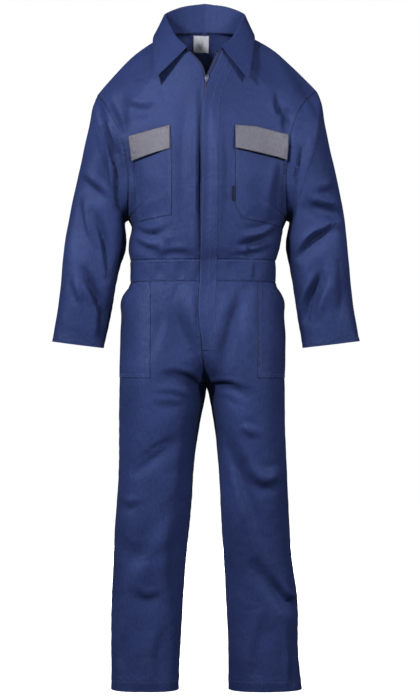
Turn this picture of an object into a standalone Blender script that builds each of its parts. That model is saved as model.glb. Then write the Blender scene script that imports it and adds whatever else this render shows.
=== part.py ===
"""Boiler suit in navy twill, filled out as if worn, with neck, cuffs and leg hems open.

The front faces -Y, +Z is up, and +X is the wearer's left. The origin lies between the two
points where neck and shoulder meet. Tables are in millimetres and objects in metres.
Every panel starts as a sheet, a grid of points on the middle of the cloth. Its folds move
the points, and then each sheet gets a wall. Panels that are sewn together share the points
of their seam and stop short of it, half a gap each.
"""

import math

import bmesh
import bpy
import numpy as np
from mathutils import Matrix

MM = 0.001
CLOTH = 1.6
SEAM_GAP = 0.3
SHARPEST_MITRE = 0.25
WALL_SPLIT = (0.31, 0.53, 0.79)
LAY_GAP = 0.6
SQUARENESS = 2.4
DENSE = 160
PATH_STEPS = 24

# How many faces each panel has across and along
ACROSS = 11
SIDE_ROWS = 5
ARMHOLE_ROWS = 14
NECK_FRONT_ROWS = 4
NECK_BACK_ROWS = 5
BODICE_ROWS = SIDE_ROWS + ARMHOLE_ROWS
CENTRE_FRONT_ROWS = BODICE_ROWS - NECK_FRONT_ROWS
CENTRE_BACK_ROWS = BODICE_ROWS - NECK_BACK_ROWS
BAND_ROWS = 1

WAIST_SEAM_Z = -553.0
BAND_SEAM_Z = -604.0
CROTCH_Z = -853.0

LEFT = 1
RIGHT = -1
SIDES = {LEFT: "left", RIGHT: "right"}

# Centre front up to where the zip ends: z, x, y
CENTRE_FRONT = (
    (WAIST_SEAM_Z, -5.0, -121.0),
    (-525.0, -4.5, -129.0),
    (-470.0, -3.5, -135.0),
    (-380.0, -2.0, -140.0),
    (-290.0, -1.0, -139.0),
    (-220.0, 0.0, -131.0),
    (-180.0, 0.5, -123.0),
)
# From there the fronts part, up to the corner where the collar starts: z, x, y
PARTED_FRONT = {
    LEFT: ((-150.0, 4.0, -116.0), (-122.0, 11.5, -109.0), (-92.0, 25.0, -99.0), (-55.0, 40.0, -87.0)),
    RIGHT: ((-150.0, 0.0, -116.0), (-122.0, -1.0, -109.0), (-92.0, -12.0, -99.0),
            (-58.0, -41.0, -87.0)),
}
# Neckline from that corner to the shoulder seam, and on to the middle of the back: x, y, z
NECK_FRONT = {
    LEFT: ((40.0, -87.0, -55.0), (58.0, -58.0, -34.0), (70.0, -25.0, -14.0), (74.0, 8.0, 0.0)),
    RIGHT: ((-41.0, -87.0, -58.0), (-58.0, -58.0, -36.0), (-70.0, -25.0, -15.0), (-74.0, 8.0, 0.0)),
}
NECK_BACK = ((0.0, 76.0, 10.0), (34.0, 68.0, 9.0), (62.0, 42.0, 5.0), (74.0, 8.0, 0.0))
# Middle of the back: z, x, y
CENTRE_BACK = (
    (WAIST_SEAM_Z, -4.0, 108.0),
    (-520.0, -4.0, 119.0),
    (-430.0, -3.0, 128.0),
    (-300.0, -2.0, 136.0),
    (-180.0, -1.0, 131.0),
    (-90.0, 0.0, 113.0),
    (-30.0, 0.0, 92.0),
    (10.0, 0.0, 76.0),
)
# Side seam from the waist to the underarm, then each armhole edge to the shoulder: x, y, z
SIDE_SEAM = {
    LEFT: ((170.0, -2.0, WAIST_SEAM_Z), (179.0, -2.0, -528.0), (185.0, 0.0, -502.0),
           (188.5, 3.0, -484.0), (190.0, 5.0, -474.0), (197.5, 5.0, -455.0)),
    RIGHT: ((-180.0, -2.0, WAIST_SEAM_Z), (-184.0, -2.0, -528.0), (-182.0, 0.0, -502.0),
            (-178.0, 3.0, -484.0), (-177.0, 5.0, -474.0), (-184.0, 5.0, -455.0)),
}
ARMHOLE_FRONT = {
    LEFT: ((197.5, 5.0, -455.0), (196.5, -42.0, -440.0), (195.0, -76.0, -390.0), (196.0, -86.0, -335.0),
           (204.0, -90.0, -270.0), (217.0, -76.0, -215.0), (240.0, -46.0, -172.0), (270.0, 2.0, -140.0)),
    RIGHT: ((-184.0, 5.0, -455.0), (-182.5, -42.0, -440.0), (-181.0, -75.0, -390.0),
            (-183.0, -84.0, -335.0), (-194.0, -88.0, -278.0), (-214.0, -74.0, -225.0),
            (-236.0, -44.0, -182.0), (-257.0, 2.0, -150.0)),
}
ARMHOLE_BACK = {
    LEFT: ((197.5, 5.0, -455.0), (198.5, 48.0, -440.0), (200.0, 82.0, -390.0), (203.0, 93.0, -335.0),
           (209.0, 96.0, -270.0), (224.0, 82.0, -205.0), (246.0, 48.0, -164.0), (270.0, 2.0, -140.0)),
    RIGHT: ((-184.0, 5.0, -455.0), (-185.0, 48.0, -440.0), (-186.0, 82.0, -390.0), (-190.0, 92.0, -335.0),
            (-198.0, 96.0, -275.0), (-216.0, 82.0, -212.0), (-238.0, 48.0, -172.0), (-257.0, 2.0, -150.0)),
}
# How a bodice row runs from the centre to the side: row, the angle where its curve ends
# (180 turns fully into the side), and how level it is at both ends, from 0 to 1
BODICE_SECTIONS = (
    (0, 180.0, 1.0),
    (SIDE_ROWS, 180.0, 1.0),
    (SIDE_ROWS + 2, 160.0, 1.0),
    (SIDE_ROWS + 5, 146.0, 1.0),
    (SIDE_ROWS + 9, 138.0, 0.6),
    (BODICE_ROWS, 132.0, 0.0),
)
SHOULDER_FALL = 1.6
# Trousers from the waistband to the hem: z, rows down to the next section, inner x on the
# left and on the right, outer x on the left and on the right, the angle where the front
# starts (90 at the centre line, 0 at the inseam), middle y, depth to the front and the back
TROUSER_SECTIONS = (
    (BAND_SEAM_Z, 2, -6.0, -6.0, 170.0, -181.0, 90.0, -2.0, 119.0, 112.0),
    (-650.0, 2, -10.0, -10.0, 183.0, -193.0, 90.0, 0.0, 130.0, 130.0),
    (-720.0, 3, -9.0, -9.0, 193.0, -200.0, 88.0, 2.0, 136.0, 141.0),
    (-790.0, 2, -3.0, -3.0, 194.0, -201.0, 66.0, 4.0, 134.5, 141.0),
    (-832.0, 1, 2.0, 2.0, 194.0, -202.0, 34.0, 5.0, 131.0, 136.0),
    (-847.0, 1, 3.5, 3.5, 194.0, -202.2, 15.0, 5.0, 129.3, 133.6),
    (CROTCH_Z, 3, 6.0, 3.0, 194.0, -202.4, 0.0, 5.0, 128.6, 132.6),
    (-936.0, 3, 23.0, -11.0, 193.0, -205.0, 0.0, 4.0, 118.0, 116.0),
    (-1030.0, 3, 32.0, -24.0, 197.0, -207.0, 0.0, 2.0, 105.0, 102.0),
    (-1130.0, 3, 37.0, -33.0, 200.0, -212.0, 0.0, 0.0, 93.0, 90.0),
    (-1250.0, 3, 44.5, -43.0, 209.0, -219.0, 0.0, 4.0, 82.0, 84.0),
    (-1372.0, 2, 51.5, -52.0, 225.0, -224.0, 0.0, 10.0, 73.0, 76.0),
    (-1490.0, 2, 57.0, -59.0, 227.0, -227.0, 0.0, 14.0, 65.0, 68.0),
    (-1588.0, 0, 59.0, -62.0, 235.0, -227.0, 0.0, 16.0, 60.0, 62.0),
)
# Sleeve rings after the armhole: rows down to this ring, outer x and z, inner x and z,
# middle y, half depth
SLEEVE_RINGS = {
    LEFT: (
        (1, 281.0, -166.0, 206.0, -459.0, 3.0, 92.0),
        (2, 291.0, -222.0, 204.0, -474.0, 2.0, 86.0),
        (2, 304.0, -292.0, 199.0, -489.0, 1.0, 81.0),
        (2, 321.0, -362.0, 196.0, -507.0, 0.0, 76.0),
        (2, 336.0, -440.0, 197.0, -532.0, -3.0, 71.0),
        (2, 343.0, -520.0, 205.0, -568.0, -7.0, 66.0),
        (2, 351.0, -598.0, 216.0, -626.0, -12.0, 59.0),
        (2, 360.0, -672.0, 226.0, -694.0, -18.0, 48.0),
        (2, 372.0, -746.0, 237.0, -762.0, -24.0, 36.0),
    ),
    RIGHT: (
        (1, -266.0, -178.0, -192.0, -459.0, 3.0, 92.0),
        (2, -277.0, -228.0, -192.0, -474.0, 2.0, 86.0),
        (2, -295.0, -296.0, -190.0, -489.0, 1.0, 81.0),
        (2, -311.0, -366.0, -189.5, -507.0, 0.0, 76.0),
        (2, -325.0, -442.0, -192.0, -532.0, -3.0, 71.0),
        (2, -338.0, -522.0, -204.0, -568.0, -7.0, 66.0),
        (2, -346.0, -600.0, -217.0, -626.0, -12.0, 58.0),
        (2, -355.0, -672.0, -228.0, -694.0, -18.0, 46.0),
        (2, -366.0, -747.0, -241.0, -763.0, -24.0, 34.0),
    ),
}
# Collar from its front corner to the middle of the back: column, the roll line and the
# outer edge as x, y, z; the wearer's right leaf spreads further by the last column
COLLAR_SECTIONS = (
    (0.0, 40.0, -94.0, -46.0, 104.0, -114.0, -128.0, 16.0),
    (2.0, 66.0, -58.0, -18.0, 114.0, -78.0, -72.0, 8.0),
    (4.0, 92.0, 2.0, 36.0, 121.0, -4.0, -12.0, 3.0),
    (6.2, 88.0, 40.0, 59.0, 106.0, 62.0, 4.0, 0.0),
    (7.6, 50.0, 62.0, 76.0, 60.0, 102.0, 12.0, 0.0),
    (9.0, 0.0, 70.0, 84.0, 0.0, 112.0, 16.0, 0.0),
)
COLLAR_CLOTH = 2.0
COLLAR_ROLL = 6.0

# Largest folds: the pieces they cross, the side they lie on (-1 in front), half width,
# depth, and their path as x, z. A trough has a positive depth and a ridge a negative one
FOLDS = (
    ("front_right", -1, 17.0, 6.0, ((-200.0, -151.0), (-197.0, -190.0), (-193.0, -232.0))),
    ("front_left", -1, 16.0, 5.0, ((176.0, -165.0), (182.0, -195.0), (203.0, -238.0))),
    ("front_right", -1, 19.0, 5.0, ((-172.0, -468.0), (-130.0, -495.0), (-70.0, -512.0))),
    ("front_left", -1, 19.0, 5.0, ((176.0, -470.0), (140.0, -500.0), (80.0, -520.0))),
    ("back", 1, 26.0, 7.0, ((122.0, -250.0), (106.0, -390.0), (94.0, -530.0))),
    ("back", 1, 26.0, 8.0, ((-118.0, -235.0), (-108.0, -380.0), (-88.0, -535.0))),
    ("back", 1, 20.0, 6.0, ((172.0, -400.0), (146.0, -460.0), (134.0, -535.0))),
    ("back", 1, 20.0, 6.0, ((-162.0, -410.0), (-142.0, -470.0), (-134.0, -540.0))),
    ("back", 1, 20.0, 4.0, ((26.0, -440.0), (32.0, -553.0))),
    ("sleeve_right", -1, 17.0, 9.0, ((-276.0, -450.0), (-250.0, -527.0), (-238.0, -590.0))),
    ("sleeve_right", -1, 16.0, 7.0, ((-284.0, -585.0), (-258.0, -650.0), (-244.0, -695.0))),
    ("sleeve_right", -1, 17.0, 5.5, ((-222.0, -300.0), (-240.0, -350.0), (-250.0, -400.0))),
    ("sleeve_left", -1, 17.0, 8.0, ((248.0, -428.0), (300.0, -446.0), (326.0, -440.0))),
    ("sleeve_left", -1, 17.0, 7.0, ((300.0, -480.0), (262.0, -522.0), (236.0, -540.0))),
    ("sleeve_left", -1, 16.0, 7.0, ((280.0, -566.0), (258.0, -634.0), (244.0, -688.0))),
    ("sleeve_right", 1, 17.0, 8.0, ((-228.0, -500.0), (-262.0, -520.0), (-300.0, -512.0))),
    ("sleeve_right", 1, 16.0, 7.0, ((-222.0, -560.0), (-262.0, -585.0), (-306.0, -582.0))),
    ("sleeve_left", 1, 17.0, 8.0, ((234.0, -505.0), (270.0, -524.0), (306.0, -515.0))),
    ("sleeve_left", 1, 16.0, 7.0, ((238.0, -570.0), (268.0, -590.0), (312.0, -578.0))),
    ("trouser_front_left", -1, 18.0, 12.0,
     ((120.0, -1284.0), (172.0, -1346.0), (206.0, -1379.0), (228.0, -1388.0))),
    ("trouser_front_left", -1, 26.0, 7.0, ((34.0, -971.0), (91.0, -1101.0), (146.0, -1249.0))),
    ("trouser_front_left", -1, 16.0, -5.0, ((115.0, -1066.0), (145.0, -1078.0), (184.0, -1062.0))),
    ("trouser_front_left", -1, 15.0, 5.5, ((10.0, -856.0), (53.0, -862.0), (92.0, -874.0))),
    ("trouser_front_right", -1, 15.0, 5.5,
     ((-96.0, -838.0), (-60.0, -842.0), (-30.0, -852.0), (-8.0, -868.0))),
    ("trouser_front_right", -1, 22.0, 6.5, ((-162.0, -1047.0), (-118.0, -1012.0), (-77.0, -985.0))),
    ("trouser_front_right", -1, 22.0, 5.0, ((-196.0, -1235.0), (-140.0, -1262.0), (-80.0, -1240.0))),
    ("trouser_back_left", 1, 19.0, 7.0, ((30.0, -864.0), (80.0, -890.0), (140.0, -898.0))),
    ("trouser_back_right", 1, 19.0, 7.0, ((-26.0, -864.0), (-78.0, -886.0), (-140.0, -892.0))),
    ("trouser_back_left", 1, 19.0, 8.0, ((60.0, -1150.0), (110.0, -1172.0), (176.0, -1160.0))),
    ("trouser_back_left", 1, 18.0, 7.0, ((64.0, -1222.0), (120.0, -1242.0), (184.0, -1218.0))),
    ("trouser_back_right", 1, 19.0, 8.0, ((-56.0, -1156.0), (-112.0, -1180.0), (-180.0, -1164.0))),
    ("trouser_back_right", 1, 18.0, 7.0, ((-60.0, -1230.0), (-122.0, -1244.0), (-186.0, -1226.0))),
)

# What lies on a panel: its panel, its outline as x, z, layers above the panel's cloth,
# thickness and finish
LAID_PIECES = (
    ("chest_pocket_left", "front_left",
     ((73.0, -262.0), (73.0, -425.0), (88.0, -455.0), (180.0, -472.0), (191.0, -276.0)), 1, CLOTH,
     "navy_twill"),
    ("chest_pocket_right", "front_right",
     ((-77.0, -262.0), (-168.0, -276.0), (-163.0, -449.0), (-155.0, -461.0), (-77.0, -448.0)), 1, CLOTH,
     "navy_twill"),
    ("pocket_flap_left", "front_left",
     ((71.5, -236.0), (71.5, -291.0), (193.0, -315.0), (199.0, -256.0), (121.0, -238.0)), 2, CLOTH,
     "grey_twill"),
    ("pocket_flap_right", "front_right",
     ((-81.0, -236.0), (-178.0, -261.0), (-171.0, -318.0), (-80.5, -292.0)), 2, CLOTH, "grey_twill"),
    ("hip_pocket_left", "trouser_front_left",
     ((126.0, -604.5), (126.0, -833.0), (260.0, -833.0), (260.0, -768.0), (162.0, -604.5)), 1, CLOTH,
     "navy_twill"),
    ("hip_pocket_right", "trouser_front_right",
     ((-128.0, -604.5), (-170.0, -604.5), (-260.0, -754.0), (-260.0, -833.0), (-128.0, -833.0)), 1, CLOTH,
     "navy_twill"),
    ("pocket_tab", "front_left",
     ((64.8, -381.0), (64.8, -416.0), (72.6, -416.0), (72.6, -381.0)), 1, 1.0, "navy_twill"),
    ("neck_label", "back",
     ((-28.0, 5.0), (-29.0, -34.0), (10.0, -35.0), (11.0, 5.0)), -1, 1.0, "white_label"),
)

# The fly and the zip tapes follow the front edge: z, then how far their edge lies from it
# towards the side. The fly laps over the other front, and the tapes show where fronts part
FLY_START = ((-740.0, 1.0), (-680.0, -4.0), (-500.0, -4.5), (-200.0, -3.0), (-160.0, -0.5), (-130.0, 0.8))
FLY_WIDTH = 39.0
FLY_COLUMNS = 2
TAPE_START = {
    LEFT: ((-215.0, 0.5), (-180.0, 0.3), (-150.0, -1.5), (-122.0, -8.0), (-92.0, -10.0), (-50.0, -10.0)),
    RIGHT: ((-215.0, 0.4), (-180.0, 0.2), (-150.0, -1.3), (-122.0, -2.8), (-92.0, -7.0), (-50.0, -9.0)),
}
TAPE_WIDTH = 16.0
TAPE_CLOTH = 1.0
TAPE_SPAN = (-760.0, -50.0)
FLY_SPAN = (-770.0, -50.0)

# Zip slider and its pull tab, which hangs from a bar between two ears
SLIDER_PLACE = (5.0, -110.9, -122.0)
SLIDER_SIZE = (8.0, 3.0, 12.0)
EAR_THICKNESS = 1.0
EAR_HEIGHT = 3.2
EAR_RIM = 0.9
BAR_RADIUS = 0.6
EYE_GAP = 0.4
EYE_Z = 3.5
PULL_EYE_RADIUS = 1.7
PULL_EYE_STEPS = 14
PULL_HOLE_RADIUS = 0.95
PULL_THICKNESS = 1.2
PULL_WIDTH = 4.4
PULL_LENGTH = 15.0

# Finishes: colour, roughness, metallic
FINISHES = {
    "navy_twill": ((0.035, 0.055, 0.165), 0.85, 0.0),
    "grey_twill": ((0.2, 0.2, 0.235), 0.85, 0.0),
    "white_label": ((0.8, 0.8, 0.8), 0.7, 0.0),
    "zip_tape": ((0.025, 0.035, 0.1), 0.8, 0.0),
    "zip_metal": ((0.45, 0.42, 0.5), 0.35, 1.0),
}


def interpolate(knots, values, places):
    """A smooth curve through the values at rising knots, read at the places."""
    knots = np.asarray(knots, float)
    values = np.asarray(values, float)
    places = np.clip(np.asarray(places, float), knots[0], knots[-1])
    steps = np.diff(knots)
    slopes = np.diff(values, axis=0) / steps[:, None]
    tangents = np.empty_like(values)
    before, after = steps[:-1, None], steps[1:, None]
    tangents[1:-1] = (slopes[:-1] * after + slopes[1:] * before) / (before + after)
    tangents[0] = slopes[0]
    tangents[-1] = slopes[-1]
    i = np.clip(np.searchsorted(knots, places, side="right") - 1, 0, len(steps) - 1)
    t = ((places - knots[i]) / steps[i])[:, None]
    span = steps[i][:, None]
    return (
        (2 * t**3 - 3 * t**2 + 1) * values[i]
        + (t**3 - 2 * t**2 + t) * span * tangents[i]
        + (3 * t**2 - 2 * t**3) * values[i + 1]
        + (t**3 - t**2) * span * tangents[i + 1]
    )


def lengths_along(points):
    """The distance from the first point to each point of a line."""
    return np.concatenate([[0.0], np.cumsum(np.linalg.norm(np.diff(points, axis=0), axis=1))])


def spaced(points, count):
    """A line's points read again at count equal steps."""
    along = lengths_along(points)
    wanted = np.linspace(0.0, along[-1], count + 1)
    return np.stack([np.interp(wanted, along, points[:, k]) for k in range(3)], axis=1)


def smooth_line(points, count):
    """A smooth line through hand-set points, at count equal steps."""
    points = np.asarray(points, float)
    along = lengths_along(points)
    dense = interpolate(along, points, np.linspace(0.0, along[-1], DENSE))
    return spaced(dense, count)


def from_zxy(rows):
    """Rows of z, x, y as points."""
    return [(x, y, z) for z, x, y in rows]


def section(inner, outer, apex_y, start, end, level, count):
    """A rounded line across a panel, from its inner to its outer point by way of its apex.

    The line is an arc of a rounded square from the angle start to the angle end, where 90 is
    the apex, stretched to meet both points. It falls late towards the side, as a shoulder
    does, or is level at both ends.
    """
    turn = np.radians(np.linspace(start, end, DENSE))
    sweep = np.sign(np.cos(turn)) * np.abs(np.cos(turn)) ** (2 / SQUARENESS)
    rise = np.abs(np.sin(turn)) ** (2 / SQUARENESS)
    share = (sweep[0] - sweep) / (sweep[0] - sweep[-1])
    x = inner[0] + (outer[0] - inner[0]) * share
    before = np.linspace(start, end, DENSE) < 90.0
    end_y = np.where(before, inner[1], outer[1])
    low = np.where(before, min(rise[0], 1 - 1e-9), min(rise[-1], 1 - 1e-9))
    y = apex_y + (end_y - apex_y) * (1 - rise) / (1 - low)
    flat = spaced(np.stack([x, y, np.zeros(DENSE)], axis=1), count)
    share = np.linspace(0.0, 1.0, count + 1)
    part = level * share**2 * (3 - 2 * share) + (1 - level) * share**SHOULDER_FALL
    flat[:, 2] = inner[2] + (outer[2] - inner[2]) * part
    return flat


def column(table, name_column, places, key_column=0):
    """One column of a table as a smooth line, read at the places of its key column."""
    keys = [row[key_column] for row in table]
    values = [[row[name_column]] for row in table]
    return interpolate(keys, values, places)[:, 0]


def bodice_half(side, inner, armhole):
    """A grid of one bodice half, from the waist seam up to the shoulder seam."""
    outer = np.concatenate([
        smooth_line(SIDE_SEAM[side], SIDE_ROWS),
        smooth_line(armhole[side], ARMHOLE_ROWS)[1:],
    ])
    rows = np.arange(BODICE_ROWS + 1)
    ends = np.minimum(column(BODICE_SECTIONS, 1, rows), 180.0)
    levels = column(BODICE_SECTIONS, 2, rows)
    return np.array([
        section(inner[row], outer[row], inner[row][1], 90.0, ends[row], levels[row], ACROSS)
        for row in rows
    ])


def front_grid(side):
    edge = from_zxy(CENTRE_FRONT + PARTED_FRONT[side])
    inner = np.concatenate([
        smooth_line(edge, CENTRE_FRONT_ROWS),
        smooth_line(NECK_FRONT[side], NECK_FRONT_ROWS)[1:],
    ])
    return bodice_half(side, inner, ARMHOLE_FRONT)


def back_grid(side):
    neck = [(side * x, y, z) for x, y, z in NECK_BACK]
    inner = np.concatenate([
        smooth_line(from_zxy(CENTRE_BACK), CENTRE_BACK_ROWS),
        smooth_line(neck, NECK_BACK_ROWS)[1:],
    ])
    return bodice_half(side, inner, ARMHOLE_BACK)


def trouser_grid(side, facing):
    """A grid of one trouser panel, from the waistband down to the hem. Facing is -1 in front."""
    heights = []
    for upper, lower in zip(TROUSER_SECTIONS, TROUSER_SECTIONS[1:]):
        for step in range(upper[1]):
            heights.append(upper[0] + (lower[0] - upper[0]) * step / upper[1])
    heights.append(TROUSER_SECTIONS[-1][0])
    keys = [-row[0] for row in TROUSER_SECTIONS]
    values = [row[2:] for row in TROUSER_SECTIONS]
    read = interpolate(keys, values, [-z for z in heights])
    rows = []
    for z, (in_left, in_right, out_left, out_right, start, middle, front, back) in zip(heights, read):
        inner_x = in_left if side == LEFT else in_right
        outer_x = out_left if side == LEFT else out_right
        depth = front if facing < 0 else back
        start = min(max(start, 0.0), 90.0)
        if z < CROTCH_Z:
            start = 0.0
        share = np.abs(np.sin(math.radians(start))) ** (2 / SQUARENESS)
        inner = (inner_x, middle + facing * depth * share, z)
        outer = (outer_x, middle, z)
        rows.append(section(inner, outer, middle + facing * depth, start, 180.0, 1.0, ACROSS))
    return np.array(rows)


def waistband_grid(upper_row, lower_row):
    """The band between the lowest bodice row and the highest trouser row."""
    parts = np.linspace(0.0, 1.0, BAND_ROWS + 1)[:, None, None]
    return upper_row[None] * (1 - parts) + lower_row[None] * parts


def sleeve_ring(out_x, out_z, in_x, in_z, middle_y, half_depth):
    """A rounded ring from its inner point by way of the front to the outer point and back."""
    halves = []
    for facing in (-1, 1):
        inner = (in_x, middle_y, in_z)
        outer = (out_x, middle_y, out_z)
        half = section(inner, outer, middle_y + facing * half_depth, 0.0, 180.0, 1.0, DENSE)
        half[:, 2] = in_z + (out_z - in_z) * (half[:, 0] - in_x) / (out_x - in_x)
        halves.append(spaced(half, ARMHOLE_ROWS))
    return np.concatenate([halves[0], halves[1][::-1][1:-1]])


def sleeve_grid(side, front, back):
    """Rings from the armhole down to the cuff. The armhole ring is the bodice's own edge."""
    armhole = np.concatenate([
        front[SIDE_ROWS:, -1],
        back[SIDE_ROWS:, -1][::-1][1:-1],
    ])
    rings, keys, places = [armhole], [0], [0.0]
    for row in SLEEVE_RINGS[side]:
        rings.append(sleeve_ring(*row[1:]))
        keys.append(keys[-1] + 1)
        places += [keys[-2] + (step + 1) / row[0] for step in range(row[0])]
    flat = np.array(rings).reshape(len(rings), -1)
    return interpolate(keys, flat, places).reshape(len(places), -1, 3)


def collar_half(side, neckline):
    """Lines from the neck seam over the roll to the outer edge, from the front to the back."""
    columns = np.arange(len(neckline))
    roll = np.stack([column(COLLAR_SECTIONS, k, columns) for k in (1, 2, 3)], axis=1)
    edge = np.stack([column(COLLAR_SECTIONS, k, columns) for k in (4, 5, 6)], axis=1)
    if side == RIGHT:
        edge[:, 0] += column(COLLAR_SECTIONS, 7, columns)
    roll[:, 0] *= side
    edge[:, 0] *= side
    rise = np.linalg.norm(roll - neckline, axis=1)[:, None]
    drop = np.linalg.norm(edge - roll, axis=1)[:, None]
    turn = np.minimum(COLLAR_ROLL, rise * 0.35)
    before = roll + (neckline - roll) * turn / rise
    after = roll + (edge - roll) * turn / drop
    crown = roll * 0.5 + (before + after) * 0.25
    return np.stack([
        neckline,
        (neckline + before) / 2,
        before,
        crown,
        after,
        after * 0.66 + edge * 0.34,
        after * 0.33 + edge * 0.67,
        edge,
    ])


def fold_shift(points, normals, facing, half_width, depth, path):
    """How far one fold moves each point along its normal: a soft trough that fades at its ends."""
    line = smooth_line([(x, 0.0, z) for x, z in path], PATH_STEPS)[:, (0, 2)]
    flat = points[:, None, (0, 2)]
    gaps = np.linalg.norm(flat - line[None], axis=2)
    nearest = gaps.argmin(axis=1)
    fade = np.sin(np.pi * (0.12 + 0.76 * nearest / PATH_STEPS)) ** 0.7
    side = np.clip(facing * normals[:, 1] * 2.5, 0.0, 1.0)
    return -depth * fade * side * np.exp(-((gaps.min(axis=1) / half_width) ** 2))


class Sheet:
    """Cloth as points and four-sided faces, before it gets its wall."""

    def __init__(self, grids, closed=False):
        self.points = []
        self.faces = []
        self.rows = []
        found = {}
        for grid, turned in grids:
            rows, columns = grid.shape[:2]
            index = [[self.place(found, grid[r][c]) for c in range(columns)] for r in range(rows)]
            self.rows += index
            for r in range(rows - 1):
                for c in range(columns if closed else columns - 1):
                    d = (c + 1) % columns
                    face = (index[r][c], index[r][d], index[r + 1][d], index[r + 1][c])
                    self.faces += self.halves(face[::-1] if turned else face)
        self.points = np.array(self.points)

    def halves(self, face):
        """A four-sided face as two triangles, split along its shorter diagonal."""
        a, b, c, d = face
        first = np.linalg.norm(self.points[a] - self.points[c])
        second = np.linalg.norm(self.points[b] - self.points[d])
        if first <= second:
            return [(a, b, c), (a, c, d)]
        return [(a, b, d), (b, c, d)]

    def place(self, found, point):
        key = seam_key(point)
        if key not in found:
            found[key] = len(self.points)
            self.points.append(np.array(point))
        return found[key]

    def normals(self):
        total = np.zeros_like(self.points)
        for face in self.faces:
            a, b, c = (self.points[i] for i in face)
            across = np.cross(b - a, c - a)
            for i in face:
                total[i] += across
        return total / np.maximum(np.linalg.norm(total, axis=1), 1e-9)[:, None]

    def open_edges(self):
        """Edges with a face on one side, in that face's order."""
        seen = {}
        for face in self.faces:
            for a, b in zip(face, face[1:] + face[:1]):
                key = (min(a, b), max(a, b))
                seen[key] = None if key in seen else (a, b)
        return [edge for edge in seen.values() if edge]


def seam_key(point):
    """The same for points of two panels that meet in a seam."""
    return tuple(np.round(point, 2) + 0.0)


def shared_normals(sheets):
    """Each sheet's normals, with one mean direction where sewn sheets share a point."""
    total = {}
    for sheet in sheets.values():
        for point, normal in zip(sheet.points, sheet.normals()):
            total[seam_key(point)] = total.get(seam_key(point), 0.0) + normal
    shared = {}
    for name, sheet in sheets.items():
        mean = np.array([total[seam_key(point)] for point in sheet.points])
        shared[name] = mean / np.maximum(np.linalg.norm(mean, axis=1), 1e-9)[:, None]
    return shared


def pulled_back(sheet, normals):
    """The points with those on an open edge moved half a seam gap away from each of their edges."""
    edges_at = {}
    own = sheet.normals()
    for a, b in sheet.open_edges():
        along = sheet.points[b] - sheet.points[a]
        for i in (a, b):
            into = np.cross(own[i], along)
            into -= normals[i] * np.dot(into, normals[i])
            edges_at.setdefault(i, []).append(into / max(np.linalg.norm(into), 1e-9))
    points = sheet.points.copy()
    for i, directions in edges_at.items():
        gap = SEAM_GAP / 2 / np.clip(np.dot(own[i], normals[i]), SHARPEST_MITRE, 1.0)
        gaps = np.full(len(directions), gap)
        points[i] += np.linalg.lstsq(np.array(directions), gaps, rcond=0.25)[0]
    return points


def material(name, colour, roughness, metallic):
    made = bpy.data.materials.new(name)
    made.use_nodes = True
    shader = made.node_tree.nodes["Principled BSDF"]
    shader.inputs["Base Color"].default_value = (*colour, 1.0)
    shader.inputs["Roughness"].default_value = roughness
    shader.inputs["Metallic"].default_value = metallic
    return made


def add_object(name, points, faces, finish):
    mesh = bpy.data.meshes.new(name)
    mesh.from_pydata([tuple(p * MM) for p in points], [], faces)
    mesh.validate()
    mesh.shade_smooth()
    mesh.set_sharp_from_angle(angle=math.radians(50))
    mesh.materials.append(finish)
    made = bpy.data.objects.new(name, mesh)
    bpy.context.scene.collection.objects.link(made)
    return made


def wall(name, points, faces, normals, edges, thickness, lift, finish):
    """A closed wall on both sides of a sheet that lies lift above its panel's middle.

    The faces along its edges are split the same way on both sides of a seam.
    """
    count = len(points)
    outer = points + normals * (lift + thickness / 2)
    inner = points + normals * (lift - thickness / 2)
    solid = list(faces)
    solid += [tuple(i + count for i in face[::-1]) for face in faces]
    for a, b in edges:
        corners = (b, a, a + count, b + count)
        turned = int(np.dot(points[b] - points[a], WALL_SPLIT) > 0)
        corners = corners[turned:] + corners[:turned]
        solid += [corners[:3], (corners[0], corners[2], corners[3])]
    return add_object(name, np.concatenate([outer, inner]), solid, finish)


def laid_piece(name, sheet, normals, outline, layers, thickness, finish):
    """A piece cut from its panel's own faces by its outline's edges, moved out by its layers."""
    mesh = bmesh.new()
    stored = mesh.verts.layers.float_vector.new("normal")
    made = []
    for point, normal in zip(sheet.points, normals):
        vert = mesh.verts.new(point)
        vert[stored] = normal
        made.append(vert)
    for face in sheet.faces:
        mesh.faces.new([made[i] for i in face])
    middle = np.mean(outline, axis=0)
    for (ax, az), (bx, bz) in zip(outline, outline[1:] + outline[:1]):
        out = np.array([bz - az, 0.0, ax - bx])
        if np.dot(out, (middle[0] - ax, 0.0, middle[1] - az)) > 0:
            out = -out
        bmesh.ops.bisect_plane(
            mesh, geom=mesh.verts[:] + mesh.edges[:] + mesh.faces[:], dist=1e-4,
            plane_co=(ax, 0.0, az), plane_no=out / np.linalg.norm(out), clear_outer=True)
    mesh.verts.index_update()
    points = np.array([v.co[:] for v in mesh.verts])
    directions = np.array([v[stored][:] for v in mesh.verts])
    directions /= np.linalg.norm(directions, axis=1)[:, None]
    faces = [tuple(v.index for v in face.verts) for face in mesh.faces]
    edges = []
    for edge in mesh.edges:
        if len(edge.link_loops) == 1:
            loop = edge.link_loops[0]
            edges.append((loop.vert.index, loop.link_loop_next.vert.index))
    mesh.free()
    step = (CLOTH + thickness) / 2 + LAY_GAP
    lift = math.copysign(step + (abs(layers) - 1) * (CLOTH + LAY_GAP), layers)
    return wall(name, points, faces, directions, edges, thickness, lift, finish)


def front_rows(sheets, normals, word):
    """The rows of one side's front panels from the top down, as points and as normals."""
    rows = []
    for name in ("front_", "waistband_front_", "trouser_front_"):
        sheet = sheets[name + word]
        indices = sheet.rows[CENTRE_FRONT_ROWS::-1] if name == "front_" else sheet.rows[1:]
        rows += [(sheet.points[row], normals[name + word][row]) for row in indices]
    return rows


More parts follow.
